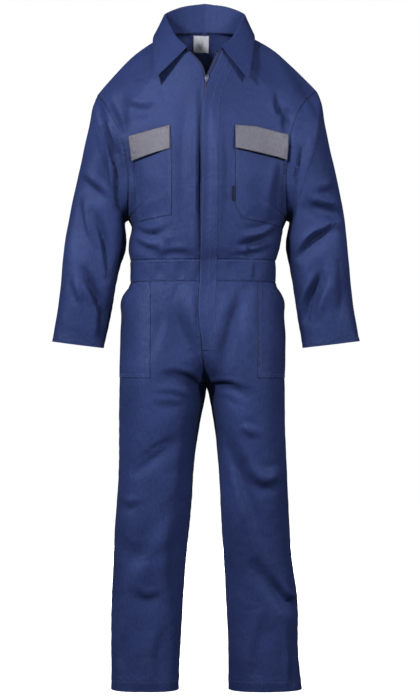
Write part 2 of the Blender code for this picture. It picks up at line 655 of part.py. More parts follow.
def read_along(line, values, places):
    """The values of a row's points, read at distances from its first point."""
    along = lengths_along(line)
    inside = np.stack([np.interp(places, along, values[:, k]) for k in range(3)], axis=1)
    step = (values[1] - values[0]) / along[1]
    return inside + np.minimum(places, 0.0)[:, None] * step


def edge_strip(name, rows, starts, width, columns, lift, thickness, span, finish):
    """A strip that follows the front edge, from its start at each height over its width."""
    grid, directions = [], []
    for points, normals in rows:
        height = points[0][2]
        if span[0] < height < span[1]:
            first = np.interp(height, [row[0] for row in starts], [row[1] for row in starts])
            places = first + np.linspace(0.0, width, columns + 1)
            grid.append(read_along(points, points, places))
            directions.append(read_along(points, normals, places))
    sheet = Sheet([(np.array(grid), rows[0][0][1][0] > rows[0][0][0][0])])
    directions = np.concatenate(directions)
    directions /= np.linalg.norm(directions, axis=1)[:, None]
    wall(name, sheet.points, sheet.faces, directions, sheet.open_edges(), thickness, lift, finish)


def box_mesh(size, middle):
    mesh = bmesh.new()
    bmesh.ops.create_cube(mesh, size=1.0)
    bmesh.ops.scale(mesh, vec=size, verts=mesh.verts)
    bmesh.ops.translate(mesh, vec=middle, verts=mesh.verts)
    return mesh


def bar_mesh(radius, length, middle):
    """A round bar along X."""
    mesh = bmesh.new()
    bmesh.ops.create_cone(mesh, cap_ends=True, segments=16, radius1=radius, radius2=radius, depth=length)
    bmesh.ops.rotate(mesh, cent=(0, 0, 0), matrix=Matrix.Rotation(math.pi / 2, 3, "Y"), verts=mesh.verts)
    bmesh.ops.translate(mesh, vec=middle, verts=mesh.verts)
    return mesh


def small_part(name, mesh, place, finish, helper=False):
    """An object from a mesh in millimetres, with its origin at its place."""
    bmesh.ops.scale(mesh, vec=(MM, MM, MM), verts=mesh.verts)
    data = bpy.data.meshes.new(name)
    mesh.to_mesh(data)
    mesh.free()
    data.materials.append(finish)
    made = bpy.data.objects.new(name, data)
    made.location = [v * MM for v in place]
    made.hide_render = helper
    if helper:
        made.display_type = "WIRE"
    bpy.context.scene.collection.objects.link(made)
    return made


def combine(base, other, operation):
    change = base.modifiers.new(other.name, "BOOLEAN")
    change.operation = operation
    change.object = other


def add_slider(finish):
    """The zip slider: a plate with two ears and the bar that the pull tab hangs on."""
    plate = box_mesh(SLIDER_SIZE, (0, 0, 0))
    slider = small_part("zip_slider", plate, SLIDER_PLACE, finish)
    bevel = slider.modifiers.new("rounded", "BEVEL")
    bevel.width = 0.8 * MM
    bevel.segments = 2
    eye_y = -SLIDER_SIZE[1] / 2 - PULL_EYE_RADIUS - EYE_GAP
    ear_x = PULL_WIDTH / 2 + EYE_GAP + EAR_THICKNESS / 2
    ear_size = (EAR_THICKNESS, -eye_y + BAR_RADIUS + EAR_RIM, EAR_HEIGHT)
    ear_y = eye_y - BAR_RADIUS - EAR_RIM + ear_size[1] / 2
    for word, x in (("ear_left", ear_x), ("ear_right", -ear_x)):
        ear = small_part(word, box_mesh(ear_size, (x, ear_y, EYE_Z)), SLIDER_PLACE, finish, helper=True)
        combine(slider, ear, "UNION")
    bar = bar_mesh(BAR_RADIUS, 2 * ear_x, (0, eye_y, EYE_Z))
    combine(slider, small_part("bar", bar, SLIDER_PLACE, finish, helper=True), "UNION")
    return eye_y


def add_pull(eye_y, finish):
    """The pull tab, with its origin on its bar: a round eye and a flat tab below it."""
    axis = (SLIDER_PLACE[0], SLIDER_PLACE[1] + eye_y, SLIDER_PLACE[2] + EYE_Z)
    half = PULL_THICKNESS / 2
    start = math.asin(half / PULL_EYE_RADIUS)
    sweep = 2 * math.pi - 2 * start
    turns = [start + sweep * step / PULL_EYE_STEPS for step in range(PULL_EYE_STEPS + 1)]
    profile = [(PULL_EYE_RADIUS * math.sin(t), -PULL_EYE_RADIUS * math.cos(t)) for t in turns]
    profile += [(-half, -PULL_LENGTH + half), (-half / 2, -PULL_LENGTH), (half / 2, -PULL_LENGTH),
                (half, -PULL_LENGTH + half)]
    mesh = bmesh.new()
    ring = [mesh.verts.new((-PULL_WIDTH / 2, y, z)) for y, z in profile]
    face = mesh.faces.new(ring)
    grown = bmesh.ops.extrude_face_region(mesh, geom=[face])["geom"]
    moved = [v for v in grown if isinstance(v, bmesh.types.BMVert)]
    bmesh.ops.translate(mesh, vec=(PULL_WIDTH, 0, 0), verts=moved)
    bmesh.ops.recalc_face_normals(mesh, faces=mesh.faces)
    pull = small_part("zip_pull", mesh, axis, finish)
    hole = bar_mesh(PULL_HOLE_RADIUS, PULL_WIDTH + 2, (0, 0, 0))
    combine(pull, small_part("pull_hole", hole, axis, finish, helper=True), "DIFFERENCE")


def clear_scene():
    for old in list(bpy.data.objects):
        bpy.data.objects.remove(old, do_unlink=True)


def cloth_sheets():
    """Every panel as a sheet, with sewn panels sharing the points of their seam."""
    sheets = {}
    fronts = {side: front_grid(side) for side in SIDES}
    backs = {side: back_grid(side) for side in SIDES}
    collars = []
    for side, word in SIDES.items():
        right = side == RIGHT
        trouser_front = trouser_grid(side, -1)
        sheets["front_" + word] = Sheet([(fronts[side], right)])
        band = waistband_grid(fronts[side][0], trouser_front[0])
        sheets["waistband_front_" + word] = Sheet([(band, not right)])
        sheets["trouser_front_" + word] = Sheet([(trouser_front, not right)])
        sheets["trouser_back_" + word] = Sheet([(trouser_grid(side, 1), right)])
        sleeve = sleeve_grid(side, fronts[side], backs[side])
        sheets["sleeve_" + word] = Sheet([(sleeve, not right)], closed=True)
        neckline = np.concatenate([
            fronts[side][CENTRE_FRONT_ROWS:, 0],
            backs[side][CENTRE_BACK_ROWS:, 0][::-1][1:],
        ])
        collars.append((collar_half(side, neckline), right))
    sheets["back"] = Sheet([(backs[side], side == LEFT) for side in SIDES])
    sheets["waistband_back"] = Sheet([
        (waistband_grid(backs[side][0], trouser_grid(side, 1)[0]), side == RIGHT) for side in SIDES
    ])
    sheets["collar"] = Sheet(collars)
    return sheets


def fold_sheets(sheets):
    """Moves each panel's points by its folds, and gives the normals of the folded panels."""
    normals = shared_normals(sheets)
    shifts = {name: np.zeros(len(sheet.points)) for name, sheet in sheets.items()}
    for name, *fold in FOLDS:
        shifts[name] += fold_shift(sheets[name].points, normals[name], *fold)
    shared = {}
    for name, sheet in sheets.items():
        for point, shift in zip(sheet.points, shifts[name]):
            shared.setdefault(seam_key(point), []).append(shift)
    for name, sheet in sheets.items():
        mean = np.array([np.mean(shared[seam_key(point)]) for point in sheet.points])
        sheet.points = sheet.points + normals[name] * mean[:, None]
    return shared_normals(sheets)


def main():
    clear_scene()
    finishes = {name: material(name, *values) for name, values in FINISHES.items()}
    cloth = finishes["navy_twill"]
    sheets = cloth_sheets()
    normals = fold_sheets(sheets)
    for name, sheet in sheets.items():
        thickness = COLLAR_CLOTH if name == "collar" else CLOTH
        points = pulled_back(sheet, normals[name])
        wall(name, points, sheet.faces, normals[name], sheet.open_edges(), thickness, 0.0, cloth)
    for name, panel, outline, layers, thickness, finish in LAID_PIECES:
        laid_piece(name, sheets[panel], normals[panel], outline, layers, thickness, finishes[finish])
    lift = CLOTH + LAY_GAP
    rows = {side: front_rows(sheets, normals, word) for side, word in SIDES.items()}
    edge_strip("fly", rows[LEFT], FLY_START, FLY_WIDTH, FLY_COLUMNS, lift, CLOTH, FLY_SPAN, cloth)
    drop = -(CLOTH + TAPE_CLOTH) / 2 - LAY_GAP
    for side, word in SIDES.items():
        edge_strip("zip_tape_" + word, rows[side], TAPE_START[side], TAPE_WIDTH, 1, drop, TAPE_CLOTH,
                   TAPE_SPAN, finishes["zip_tape"])
    add_pull(add_slider(finishes["zip_metal"]), finishes["zip_metal"])


main()
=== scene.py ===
"""Looks of the boiler suit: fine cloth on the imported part's own form, with seams and stitches.

Tables are in millimetres and meshes in metres. Each panel is a grid of points on the middle
of its cloth, read from the same tables as the solids and K times as fine.
"""

import math

import bmesh
import bpy
import numpy as np
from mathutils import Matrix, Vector
from mathutils.bvhtree import BVHTree
from mathutils.kdtree import KDTree


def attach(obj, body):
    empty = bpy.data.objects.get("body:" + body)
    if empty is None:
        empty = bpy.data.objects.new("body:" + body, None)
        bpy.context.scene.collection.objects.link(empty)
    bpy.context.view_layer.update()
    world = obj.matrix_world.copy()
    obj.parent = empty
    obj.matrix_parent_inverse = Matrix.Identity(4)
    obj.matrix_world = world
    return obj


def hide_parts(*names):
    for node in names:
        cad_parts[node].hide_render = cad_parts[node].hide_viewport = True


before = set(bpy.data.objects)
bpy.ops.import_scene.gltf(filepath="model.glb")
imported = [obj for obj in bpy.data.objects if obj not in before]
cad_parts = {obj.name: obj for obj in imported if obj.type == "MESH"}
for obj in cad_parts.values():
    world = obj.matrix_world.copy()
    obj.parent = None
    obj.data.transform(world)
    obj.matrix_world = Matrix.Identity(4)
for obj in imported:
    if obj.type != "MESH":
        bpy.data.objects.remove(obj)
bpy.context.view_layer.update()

MM = 0.001
# How many times as fine as the solids each grid is, and the steps that curves are read in
K = 5
DENSE = 400
PATH_STEPS = 24
# The power of the rounded squares that the body and the limbs are in section
SQUARENESS = 2.4
# How thick cloth shows, single and as the collar's two layers
CLOTH = 1.1
COLLAR_SHOWN = 2.4
# The soft side of a crease in widths of the crease
SOFT_SIDE = 2.2
# The angle from which an edge is shown sharp, and the least length that is divided by
SHARP_ANGLE = math.radians(50)
TINY = 1e-9

# How many faces the solids have across and along each panel, before K
ACROSS = 11
SIDE_ROWS = 5
ARMHOLE_ROWS = 14
NECK_FRONT_ROWS = 4
NECK_BACK_ROWS = 5
BODICE_ROWS = SIDE_ROWS + ARMHOLE_ROWS
CENTRE_FRONT_ROWS = BODICE_ROWS - NECK_FRONT_ROWS
CENTRE_BACK_ROWS = BODICE_ROWS - NECK_BACK_ROWS
BAND_ROWS = 2

WAIST_SEAM_Z = -553.0
BAND_SEAM_Z = -604.0
CROTCH_Z = -853.0
PARTING_Z = -847.0

LEFT = 1
RIGHT = -1
SIDES = {LEFT: "left", RIGHT: "right"}

# Centre front up to where the zip ends: z, x, y
CENTRE_FRONT = (
    (WAIST_SEAM_Z, -5, -121),
    (-525, -4.5, -129),
    (-470, -3.5, -135),
    (-380, -2, -140),
    (-290, -1, -139),
    (-220, 0, -131),
    (-180, 0.5, -123),
)
# From there the fronts part, up to the corner where the collar starts: z, x, y
PARTED_FRONT = {
    LEFT: ((-150, 4, -116), (-122, 11.5, -109), (-92, 25, -99), (-55, 40, -87)),
    RIGHT: ((-150, 0, -116), (-122, -1, -109), (-92, -12, -99), (-58, -41, -87)),
}
# Neckline from that corner to the shoulder seam, and on to the middle of the back: x, y, z
NECK_FRONT = {
    LEFT: ((40, -87, -55), (58, -58, -34), (70, -25, -14), (74, 8, 0)),
    RIGHT: ((-41, -87, -58), (-58, -58, -36), (-70, -25, -15), (-74, 8, 0)),
}
NECK_BACK = ((0, 76, 10), (34, 68, 9), (62, 42, 5), (74, 8, 0))
# Middle of the back: z, x, y
CENTRE_BACK = (
    (WAIST_SEAM_Z, -4, 108),
    (-520, -4, 119),
    (-430, -3, 128),
    (-300, -2, 136),
    (-180, -1, 131),
    (-90, 0, 113),
    (-30, 0, 92),
    (10, 0, 76),
)
# Side seam from the waist to the underarm, then each armhole edge to the shoulder: x, y, z
SIDE_SEAM = {
    LEFT: ((170, -2, WAIST_SEAM_Z), (179, -2, -528), (185, 0, -502),
           (188.5, 3, -484), (190, 5, -474), (197.5, 5, -455)),
    RIGHT: ((-180, -2, WAIST_SEAM_Z), (-184, -2, -528), (-182, 0, -502),
            (-178, 3, -484), (-177, 5, -474), (-184, 5, -455)),
}
ARMHOLE_FRONT = {
    LEFT: ((197.5, 5, -455), (196.5, -42, -440), (195, -76, -390), (196, -86, -335),
           (204, -90, -270), (217, -76, -215), (240, -46, -172), (270, 2, -140)),
    RIGHT: ((-184, 5, -455), (-182.5, -42, -440), (-181, -75, -390),
            (-183, -84, -335), (-194, -88, -278), (-214, -74, -225),
            (-236, -44, -182), (-257, 2, -150)),
}
ARMHOLE_BACK = {
    LEFT: ((197.5, 5, -455), (198.5, 48, -440), (200, 82, -390), (203, 93, -335),
           (209, 96, -270), (224, 82, -205), (246, 48, -164), (270, 2, -140)),
    RIGHT: ((-184, 5, -455), (-185, 48, -440), (-186, 82, -390), (-190, 92, -335),
            (-198, 96, -275), (-216, 82, -212), (-238, 48, -172), (-257, 2, -150)),
}
# How a bodice row runs from the centre to the side: row, the angle where its curve ends
# (180 turns fully into the side), and how level it is at both ends, from 0 to 1
BODICE_SECTIONS = (
    (0, 180, 1),
    (SIDE_ROWS, 180, 1),
    (SIDE_ROWS + 2, 160, 1),
    (SIDE_ROWS + 5, 146, 1),
    (SIDE_ROWS + 9, 138, 0.6),
    (BODICE_ROWS, 132, 0),
)
SHOULDER_FALL = 1.6
# Trousers from the waistband to the hem: z, rows down to the next section, inner x on the
# left and on the right, outer x on the left and on the right, the angle where the front
# starts (90 at the centre line, 0 at the inseam), middle y, depth to the front and the back
TROUSER_SECTIONS = (
    (BAND_SEAM_Z, 2, -6, -6, 170, -181, 90, -2, 119, 112),
    (-650, 2, -10, -10, 183, -193, 90, 0, 130, 130),
    (-720, 3, -9, -9, 193, -200, 88, 2, 136, 141),
    (-790, 2, -3, -3, 194, -201, 66, 4, 134.5, 141),
    (-832, 1, 2, 2, 194, -202, 34, 5, 131, 136),
    (-847, 1, 3.5, 3.5, 194, -202.2, 15, 5, 129.3, 133.6),
    (CROTCH_Z, 3, 6, 3, 194, -202.4, 0, 5, 128.6, 132.6),
    (-936, 3, 23, -11, 193, -205, 0, 4, 118, 116),
    (-1030, 3, 32, -24, 197, -207, 0, 2, 105, 102),
    (-1130, 3, 37, -33, 200, -212, 0, 0, 93, 90),
    (-1250, 3, 44.5, -43, 209, -219, 0, 4, 82, 84),
    (-1372, 2, 51.5, -52, 225, -224, 0, 10, 73, 76),
    (-1490, 2, 57, -59, 227, -227, 0, 14, 65, 68),
    (-1588, 0, 59, -62, 235, -227, 0, 16, 60, 62),
)
# Sleeve rings after the armhole: rows down to this ring, outer x and z, inner x and z,
# middle y, half depth
SLEEVE_RINGS = {
    LEFT: (
        (1, 281, -166, 206, -459, 3, 92),
        (2, 291, -222, 204, -474, 2, 86),
        (2, 304, -292, 199, -489, 1, 81),
        (2, 321, -362, 196, -507, 0, 76),
        (2, 336, -440, 197, -532, -3, 71),
        (2, 343, -520, 205, -568, -7, 66),
        (2, 351, -598, 216, -626, -12, 59),
        (2, 360, -672, 226, -694, -18, 48),
        (2, 372, -746, 237, -762, -24, 36),
    ),
    RIGHT: (
        (1, -266, -178, -192, -459, 3, 92),
        (2, -277, -228, -192, -474, 2, 86),
        (2, -295, -296, -190, -489, 1, 81),
        (2, -311, -366, -189.5, -507, 0, 76),
        (2, -325, -442, -192, -532, -3, 71),
        (2, -338, -522, -204, -568, -7, 66),
        (2, -346, -600, -217, -626, -12, 58),
        (2, -355, -672, -228, -694, -18, 46),
        (2, -366, -747, -241, -763, -24, 34),
    ),
}
# Collar from its front corner to the middle of the back: column, the roll line and the
# outer edge as x, y, z; the wearer's right leaf spreads further by the last column
COLLAR_SECTIONS = (
    (0, 40, -94, -46, 104, -114, -128, 16),
    (2, 66, -58, -18, 114, -78, -72, 8),
    (4, 92, 2, 36, 121, -4, -12, 3),
    (6.2, 88, 40, 59, 106, 62, 4, 0),
    (7.6, 50, 62, 76, 60, 102, 12, 0),
    (9, 0, 70, 84, 0, 112, 16, 0),
)
# The radius of the roll, and the lines in the collar's stand, over its roll and in its fall
COLLAR_ROLL = 6
STAND_LINES = 8
CROWN_LINES = 6
FALL_LINES = 16

# Largest folds of a piece on one side (-1 in front): half width, depth and the path as x, z,
# x, z and so on. A trough has a positive depth and a ridge a negative one
FOLDS = {
    ("front_right", -1): (
        (17, 6, -200, -151, -197, -190, -193, -232), (19, 5, -172, -468, -130, -495, -70, -512),
    ),
    ("front_left", -1): (
        (16, 5, 176, -165, 182, -195, 203, -238), (19, 5, 176, -470, 140, -500, 80, -520),
    ),
    ("back", 1): (
        (26, 7, 122, -250, 106, -390, 94, -530), (26, 8, -118, -235, -108, -380, -88, -535),
        (20, 6, 172, -400, 146, -460, 134, -535), (20, 6, -162, -410, -142, -470, -134, -540),
        (20, 4, 26, -440, 32, -553),
    ),
    ("sleeve_right", -1): (
        (17, 9, -276, -450, -250, -527, -238, -590), (16, 7, -284, -585, -258, -650, -244, -695),
        (17, 5.5, -222, -300, -240, -350, -250, -400),
    ),
    ("sleeve_left", -1): (
        (17, 8, 248, -428, 300, -446, 326, -440), (17, 7, 300, -480, 262, -522, 236, -540),
        (16, 7, 280, -566, 258, -634, 244, -688),
    ),
    ("sleeve_right", 1): (
        (17, 8, -228, -500, -262, -520, -300, -512), (16, 7, -222, -560, -262, -585, -306, -582),
    ),
    ("sleeve_left", 1): (
        (17, 8, 234, -505, 270, -524, 306, -515), (16, 7, 238, -570, 268, -590, 312, -578),
    ),
    ("trouser_front_left", -1): (
        (18, 12, 120, -1284, 172, -1346, 206, -1379, 228, -1388),
        (26, 7, 34, -971, 91, -1101, 146, -1249), (16, -5, 115, -1066, 145, -1078, 184, -1062),
        (15, 5.5, 10, -856, 53, -862, 92, -874),
    ),
    ("trouser_front_right", -1): (
        (15, 5.5, -96, -838, -60, -842, -30, -852, -8, -868),
        (22, 6.5, -162, -1047, -118, -1012, -77, -985),
        (22, 5, -196, -1235, -140, -1262, -80, -1240),
    ),
    ("trouser_back_left", 1): (
        (19, 7, 30, -864, 80, -890, 140, -898), (19, 8, 60, -1150, 110, -1172, 176, -1160),
        (18, 7, 64, -1222, 120, -1242, 184, -1218),
    ),
    ("trouser_back_right", 1): (
        (19, 7, -26, -864, -78, -886, -140, -892), (19, 8, -56, -1156, -112, -1180, -180, -1164),
        (18, 7, -60, -1230, -122, -1244, -186, -1226),
    ),
}

# What lies on a panel: the panel, the finish and the outline as x, z
LAID_PIECES = (
    ("chest_pocket_left", "front_left", "navy_twill",
     ((73, -262), (73, -425), (88, -455), (180, -472), (191, -276))),
    ("chest_pocket_right", "front_right", "navy_twill",
     ((-77, -262), (-168, -276), (-163, -449), (-155, -461), (-77, -448))),
    ("pocket_flap_left", "front_left", "grey_twill",
     ((71.5, -236), (71.5, -291), (193, -315), (199, -256), (121, -238))),
    ("pocket_flap_right", "front_right", "grey_twill",
     ((-81, -236), (-178, -261), (-171, -318), (-80.5, -292))),
    ("hip_pocket_left", "trouser_front_left", "navy_twill",
     ((126, -604.5), (126, -833), (260, -833), (260, -768), (162, -604.5))),
    ("hip_pocket_right", "trouser_front_right", "navy_twill",
     ((-128, -604.5), (-170, -604.5), (-260, -754), (-260, -833), (-128, -833))),
    ("pocket_tab", "front_left", "woven_tab",
     ((64.8, -381), (64.8, -416), (72.6, -416), (72.6, -381))),
    ("neck_label", "back", "white_label", ((-28, 5), (-29, -34), (10, -35), (11, 5))),
)

# The fly and the zip tapes follow the front edge: z, then how far their edge lies from it
# towards the side. The fly laps over the other front, and the tapes show where fronts part
FLY_START = ((-740, 1), (-680, -4), (-500, -4.5), (-200, -3), (-160, -0.5), (-130, 0.8))
FLY_WIDTH = 39
FLY_SHARES = (0, 0.02, 0.05, 0.1, 0.18, 0.28, 0.4, 0.52, 0.64, 0.76, 0.86, 0.93, 0.97, 1)
FLY_SPAN = (-770, -50)
TAPE_START = {
    LEFT: ((-215, 0.5), (-180, 0.3), (-150, -1.5), (-122, -8), (-92, -10), (-50, -10)),
    RIGHT: ((-215, 0.4), (-180, 0.2), (-150, -1.3), (-122, -2.8), (-92, -7), (-50, -9)),
}
TAPE_WIDTH = 16.0
TAPE_LINES = 6
TAPE_SPAN = (-760.0, -50.0)
TAPE_BEHIND = 1.45
TAPE_THICKNESS = 0.8
# Teeth stand above this height, where the open neck shows them: pitch and size
TEETH_FROM = -560.0
TOOTH_PITCH = 2.6
TOOTH_SIZE = (2.8, 1.9, 1.2)


def interpolate(knots, values, places):
    """A smooth curve through the values at rising knots, read at the places."""
    knots = np.asarray(knots, float)
    values = np.asarray(values, float)
    places = np.clip(np.asarray(places, float), knots[0], knots[-1])
    steps = np.diff(knots)
    slopes = np.diff(values, axis=0) / steps[:, None]
    tangents = np.empty_like(values)
    before, after = steps[:-1, None], steps[1:, None]
    tangents[1:-1] = (slopes[:-1] * after + slopes[1:] * before) / (before + after)
    tangents[0] = slopes[0]
    tangents[-1] = slopes[-1]
    i = np.clip(np.searchsorted(knots, places, side="right") - 1, 0, len(steps) - 1)
    t = ((places - knots[i]) / steps[i])[:, None]
    span = steps[i][:, None]
    return (
        (2 * t**3 - 3 * t**2 + 1) * values[i]
        + (t**3 - 2 * t**2 + t) * span * tangents[i]
        + (3 * t**2 - 2 * t**3) * values[i + 1]
        + (t**3 - t**2) * span * tangents[i + 1]
    )


def lengths_along(points):
    """The distance from the first point to each point of a line."""
    return np.concatenate([[0.0], np.cumsum(np.linalg.norm(np.diff(points, axis=0), axis=1))])


def spaced(points, count):
    """A line's points read again at count equal steps."""
    along = lengths_along(points)
    wanted = np.linspace(0.0, along[-1], count + 1)
    return np.stack([np.interp(wanted, along, points[:, k]) for k in range(3)], axis=1)


def smooth_line(points, count):
    """A smooth line through given points, at count equal steps."""
    points = np.asarray(points, float)
    along = lengths_along(points)
    dense = interpolate(along, points, np.linspace(0.0, along[-1], DENSE))
    return spaced(dense, count)


def from_zxy(rows):
    """Rows of z, x, y as points."""
    return [(x, y, z) for z, x, y in rows]


def section(inner, outer, apex_y, start, end, level, count):
    """A rounded line across a panel, from its inner to its outer point by way of its apex.

    The line is an arc of a rounded square from the angle start to the angle end, where 90 is
    the apex, stretched to meet both points. It falls late towards the side, as a shoulder
    does, or is level at both ends.
    """
    turn = np.radians(np.linspace(start, end, DENSE))
    sweep = np.sign(np.cos(turn)) * np.abs(np.cos(turn)) ** (2 / SQUARENESS)
    rise = np.abs(np.sin(turn)) ** (2 / SQUARENESS)
    share = (sweep[0] - sweep) / (sweep[0] - sweep[-1])
    x = inner[0] + (outer[0] - inner[0]) * share
    before = np.linspace(start, end, DENSE) < 90.0
    end_y = np.where(before, inner[1], outer[1])
    low = np.where(before, min(rise[0], 1 - TINY), min(rise[-1], 1 - TINY))
    y = apex_y + (end_y - apex_y) * (1 - rise) / (1 - low)
    flat = spaced(np.stack([x, y, np.zeros(DENSE)], axis=1), count)
    share = np.linspace(0.0, 1.0, count + 1)
    part = level * share**2 * (3 - 2 * share) + (1 - level) * share**SHOULDER_FALL
    flat[:, 2] = inner[2] + (outer[2] - inner[2]) * part
    return flat


def column(table, index, places):
    """One column of a table as a smooth line, read at places of its first column."""
    keys = [row[0] for row in table]
    values = [[row[index]] for row in table]
    return interpolate(keys, values, places)[:, 0]


def bodice_half(side, inner, armhole):
    """A grid of one bodice half, from the waist seam up to the shoulder seam."""
    outer = np.concatenate([
        smooth_line(SIDE_SEAM[side], SIDE_ROWS * K),
        smooth_line(armhole[side], ARMHOLE_ROWS * K)[1:],
    ])
    rows = np.arange(BODICE_ROWS * K + 1)
    ends = np.minimum(column(BODICE_SECTIONS, 1, rows / K), 180.0)
    levels = column(BODICE_SECTIONS, 2, rows / K)
    return np.array([
        section(inner[row], outer[row], inner[row][1], 90.0, ends[row], levels[row], ACROSS * K)
        for row in rows
    ])


def front_grid(side):
    edge = from_zxy(CENTRE_FRONT + PARTED_FRONT[side])
    inner = np.concatenate([
        smooth_line(edge, CENTRE_FRONT_ROWS * K),
        smooth_line(NECK_FRONT[side], NECK_FRONT_ROWS * K)[1:],
    ])
    return bodice_half(side, inner, ARMHOLE_FRONT)


def back_grid(side):
    neck = [(side * x, y, z) for x, y, z in NECK_BACK]
    inner = np.concatenate([
        smooth_line(from_zxy(CENTRE_BACK), CENTRE_BACK_ROWS * K),
        smooth_line(neck, NECK_BACK_ROWS * K)[1:],
    ])
    return bodice_half(side, inner, ARMHOLE_BACK)


def trouser_grid(side, facing):
    """A grid of one trouser panel, from the waistband down to the hem. Facing is -1 in front."""
    heights = []
    for upper, lower in zip(TROUSER_SECTIONS, TROUSER_SECTIONS[1:]):
        for step in range(upper[1] * K):
            heights.append(upper[0] + (lower[0] - upper[0]) * step / (upper[1] * K))
    heights.append(TROUSER_SECTIONS[-1][0])
    keys = [-row[0] for row in TROUSER_SECTIONS]
    values = [row[2:] for row in TROUSER_SECTIONS]
    read = interpolate(keys, values, [-z for z in heights])
    rows = []
    for z, (in_left, in_right, out_left, out_right, start, middle, front, back) in zip(heights, read):
        inner_x = in_left if side == LEFT else in_right
        if z >= PARTING_Z:
            inner_x = (in_left + in_right) / 2
        outer_x = out_left if side == LEFT else out_right
        depth = front if facing < 0 else back
        start = min(max(start, 0.0), 90.0)
        if z < CROTCH_Z:
            start = 0.0
        share = np.abs(np.sin(math.radians(start))) ** (2 / SQUARENESS)
        inner = (inner_x, middle + facing * depth * share, z)
        outer = (outer_x, middle, z)
        rows.append(section(inner, outer, middle + facing * depth, start, 180.0, 1.0, ACROSS * K))
    return np.array(rows)


def band_grid(upper_row, lower_row):
    """The waistband between the lowest bodice row and the highest trouser row."""
    parts = np.linspace(0.0, 1.0, BAND_ROWS * K + 1)[:, None, None]
    return upper_row[None] * (1 - parts) + lower_row[None] * parts


def sleeve_ring(out_x, out_z, in_x, in_z, middle_y, half_depth):
    """A rounded ring from its inner point by way of the front to the outer point and back."""
    halves = []
    for facing in (-1, 1):
        inner = (in_x, middle_y, in_z)
        outer = (out_x, middle_y, out_z)
        half = section(inner, outer, middle_y + facing * half_depth, 0.0, 180.0, 1.0, DENSE)
        half[:, 2] = in_z + (out_z - in_z) * (half[:, 0] - in_x) / (out_x - in_x)
        halves.append(spaced(half, ARMHOLE_ROWS * K))
    return np.concatenate([halves[0], halves[1][::-1][1:]])


def sleeve_grid(side, front, back):
    """Rings from the armhole down to the cuff, closed under the arm."""
    start = SIDE_ROWS * K
    armhole = np.concatenate([front[start:, -1], back[start:, -1][::-1][1:]])
    rings, keys, places = [armhole], [0], [0.0]
    for row in SLEEVE_RINGS[side]:
        rings.append(sleeve_ring(*row[1:]))
        keys.append(keys[-1] + 1)
        places += [keys[-2] + (step + 1) / (row[0] * K) for step in range(row[0] * K)]
    flat = np.array(rings).reshape(len(rings), -1)
    return interpolate(keys, flat, places).reshape(len(places), -1, 3)


def curve_through(a, b, c, count):
    """A rounded corner from a to c by way of b, as count + 1 lines."""
    t = np.linspace(0.0, 1.0, count + 1)[:, None, None]
    return (1 - t) ** 2 * a + 2 * t * (1 - t) * b + t**2 * c


def collar_half(side, neckline):
    """Lines from the neck seam over the roll to the outer edge, from the front to the back."""
    columns = np.arange(len(neckline)) / K
    roll = np.stack([column(COLLAR_SECTIONS, k, columns) for k in (1, 2, 3)], axis=1)
    edge = np.stack([column(COLLAR_SECTIONS, k, columns) for k in (4, 5, 6)], axis=1)
    if side == RIGHT:
        edge[:, 0] += column(COLLAR_SECTIONS, 7, columns)
    roll[:, 0] *= side
    edge[:, 0] *= side
    rise = np.linalg.norm(roll - neckline, axis=1)[:, None]
    drop = np.linalg.norm(edge - roll, axis=1)[:, None]
    turn = np.minimum(COLLAR_ROLL, rise * 0.35)
    before = roll + (neckline - roll) * turn / rise
    after = roll + (edge - roll) * turn / drop
    stand = [neckline * (1 - t) + before * t for t in np.linspace(0.0, 1.0, STAND_LINES + 1)[:-1]]
    crown = list(curve_through(before, roll, after, CROWN_LINES))
    fall = [after * (1 - t) + edge * t for t in np.linspace(0.0, 1.0, FALL_LINES + 1)[1:]]
    return np.array(stand + crown + fall)


def grid_normals(points, closed):
    """Unit normals of a grid, on the side that its columns and rows turn to."""
    if closed:
        points = np.concatenate([points[:, -2:-1], points, points[:, 1:2]], axis=1)
    along_row = np.gradient(points, axis=1)
    along_column = np.gradient(points, axis=0)
    normals = np.cross(along_row, along_column)
    normals /= np.maximum(np.linalg.norm(normals, axis=2), TINY)[:, :, None]
    return normals[:, 1:-1] if closed else normals


def border_places(grid):
    """Row and column indices of a grid's four borders."""
    rows, columns = grid.shape[:2]
    places = [(0, c) for c in range(columns)] + [(rows - 1, c) for c in range(columns)]
    places += [(r, 0) for r in range(1, rows - 1)] + [(r, columns - 1) for r in range(1, rows - 1)]
    return places


def seam_key(point):
    return tuple(np.round(point, 2) + 0.0)


class Panel:
    """A grid of cloth with its normals, and which side of it is out."""

    def __init__(self, points, out, closed=False):
        self.points = points
        self.closed = closed
        self.keys = {place: seam_key(points[place]) for place in border_places(points)}
        self.sign = 1.0 if (grid_normals(points, closed) * out(points)).sum() > 0 else -1.0

    def own_normals(self):
        return self.sign * grid_normals(self.points, self.closed)


def facing_out(facing):
    return lambda points: np.array((0.0, facing, 0.0))


def ring_out(points):
    return points - points.mean(axis=1, keepdims=True)


def collar_out(points):
    out = points.copy()
    out[:, :, 2] = 0.0
    out[:-8] = 0.0
    return out


def share_at_seams(panels, values):
    """For each panel, the mean over all panels of a value at each border point."""
    total = {}
    for name, panel in panels.items():
        for place, key in panel.keys.items():
            sums = total.setdefault(key, [0.0, 0])
            sums[0] = sums[0] + values[name][place]
            sums[1] += 1
    return {
        name: {place: total[key][0] / total[key][1] for place, key in panel.keys.items()}
        for name, panel in panels.items()
    }


def shared_normals(panels):
    own = {name: panel.own_normals() for name, panel in panels.items()}
    shared = share_at_seams(panels, own)
    for name, normals in own.items():
        for place, mean in shared[name].items():
            normals[place] = mean
        normals /= np.maximum(np.linalg.norm(normals, axis=2), TINY)[:, :, None]
    return own


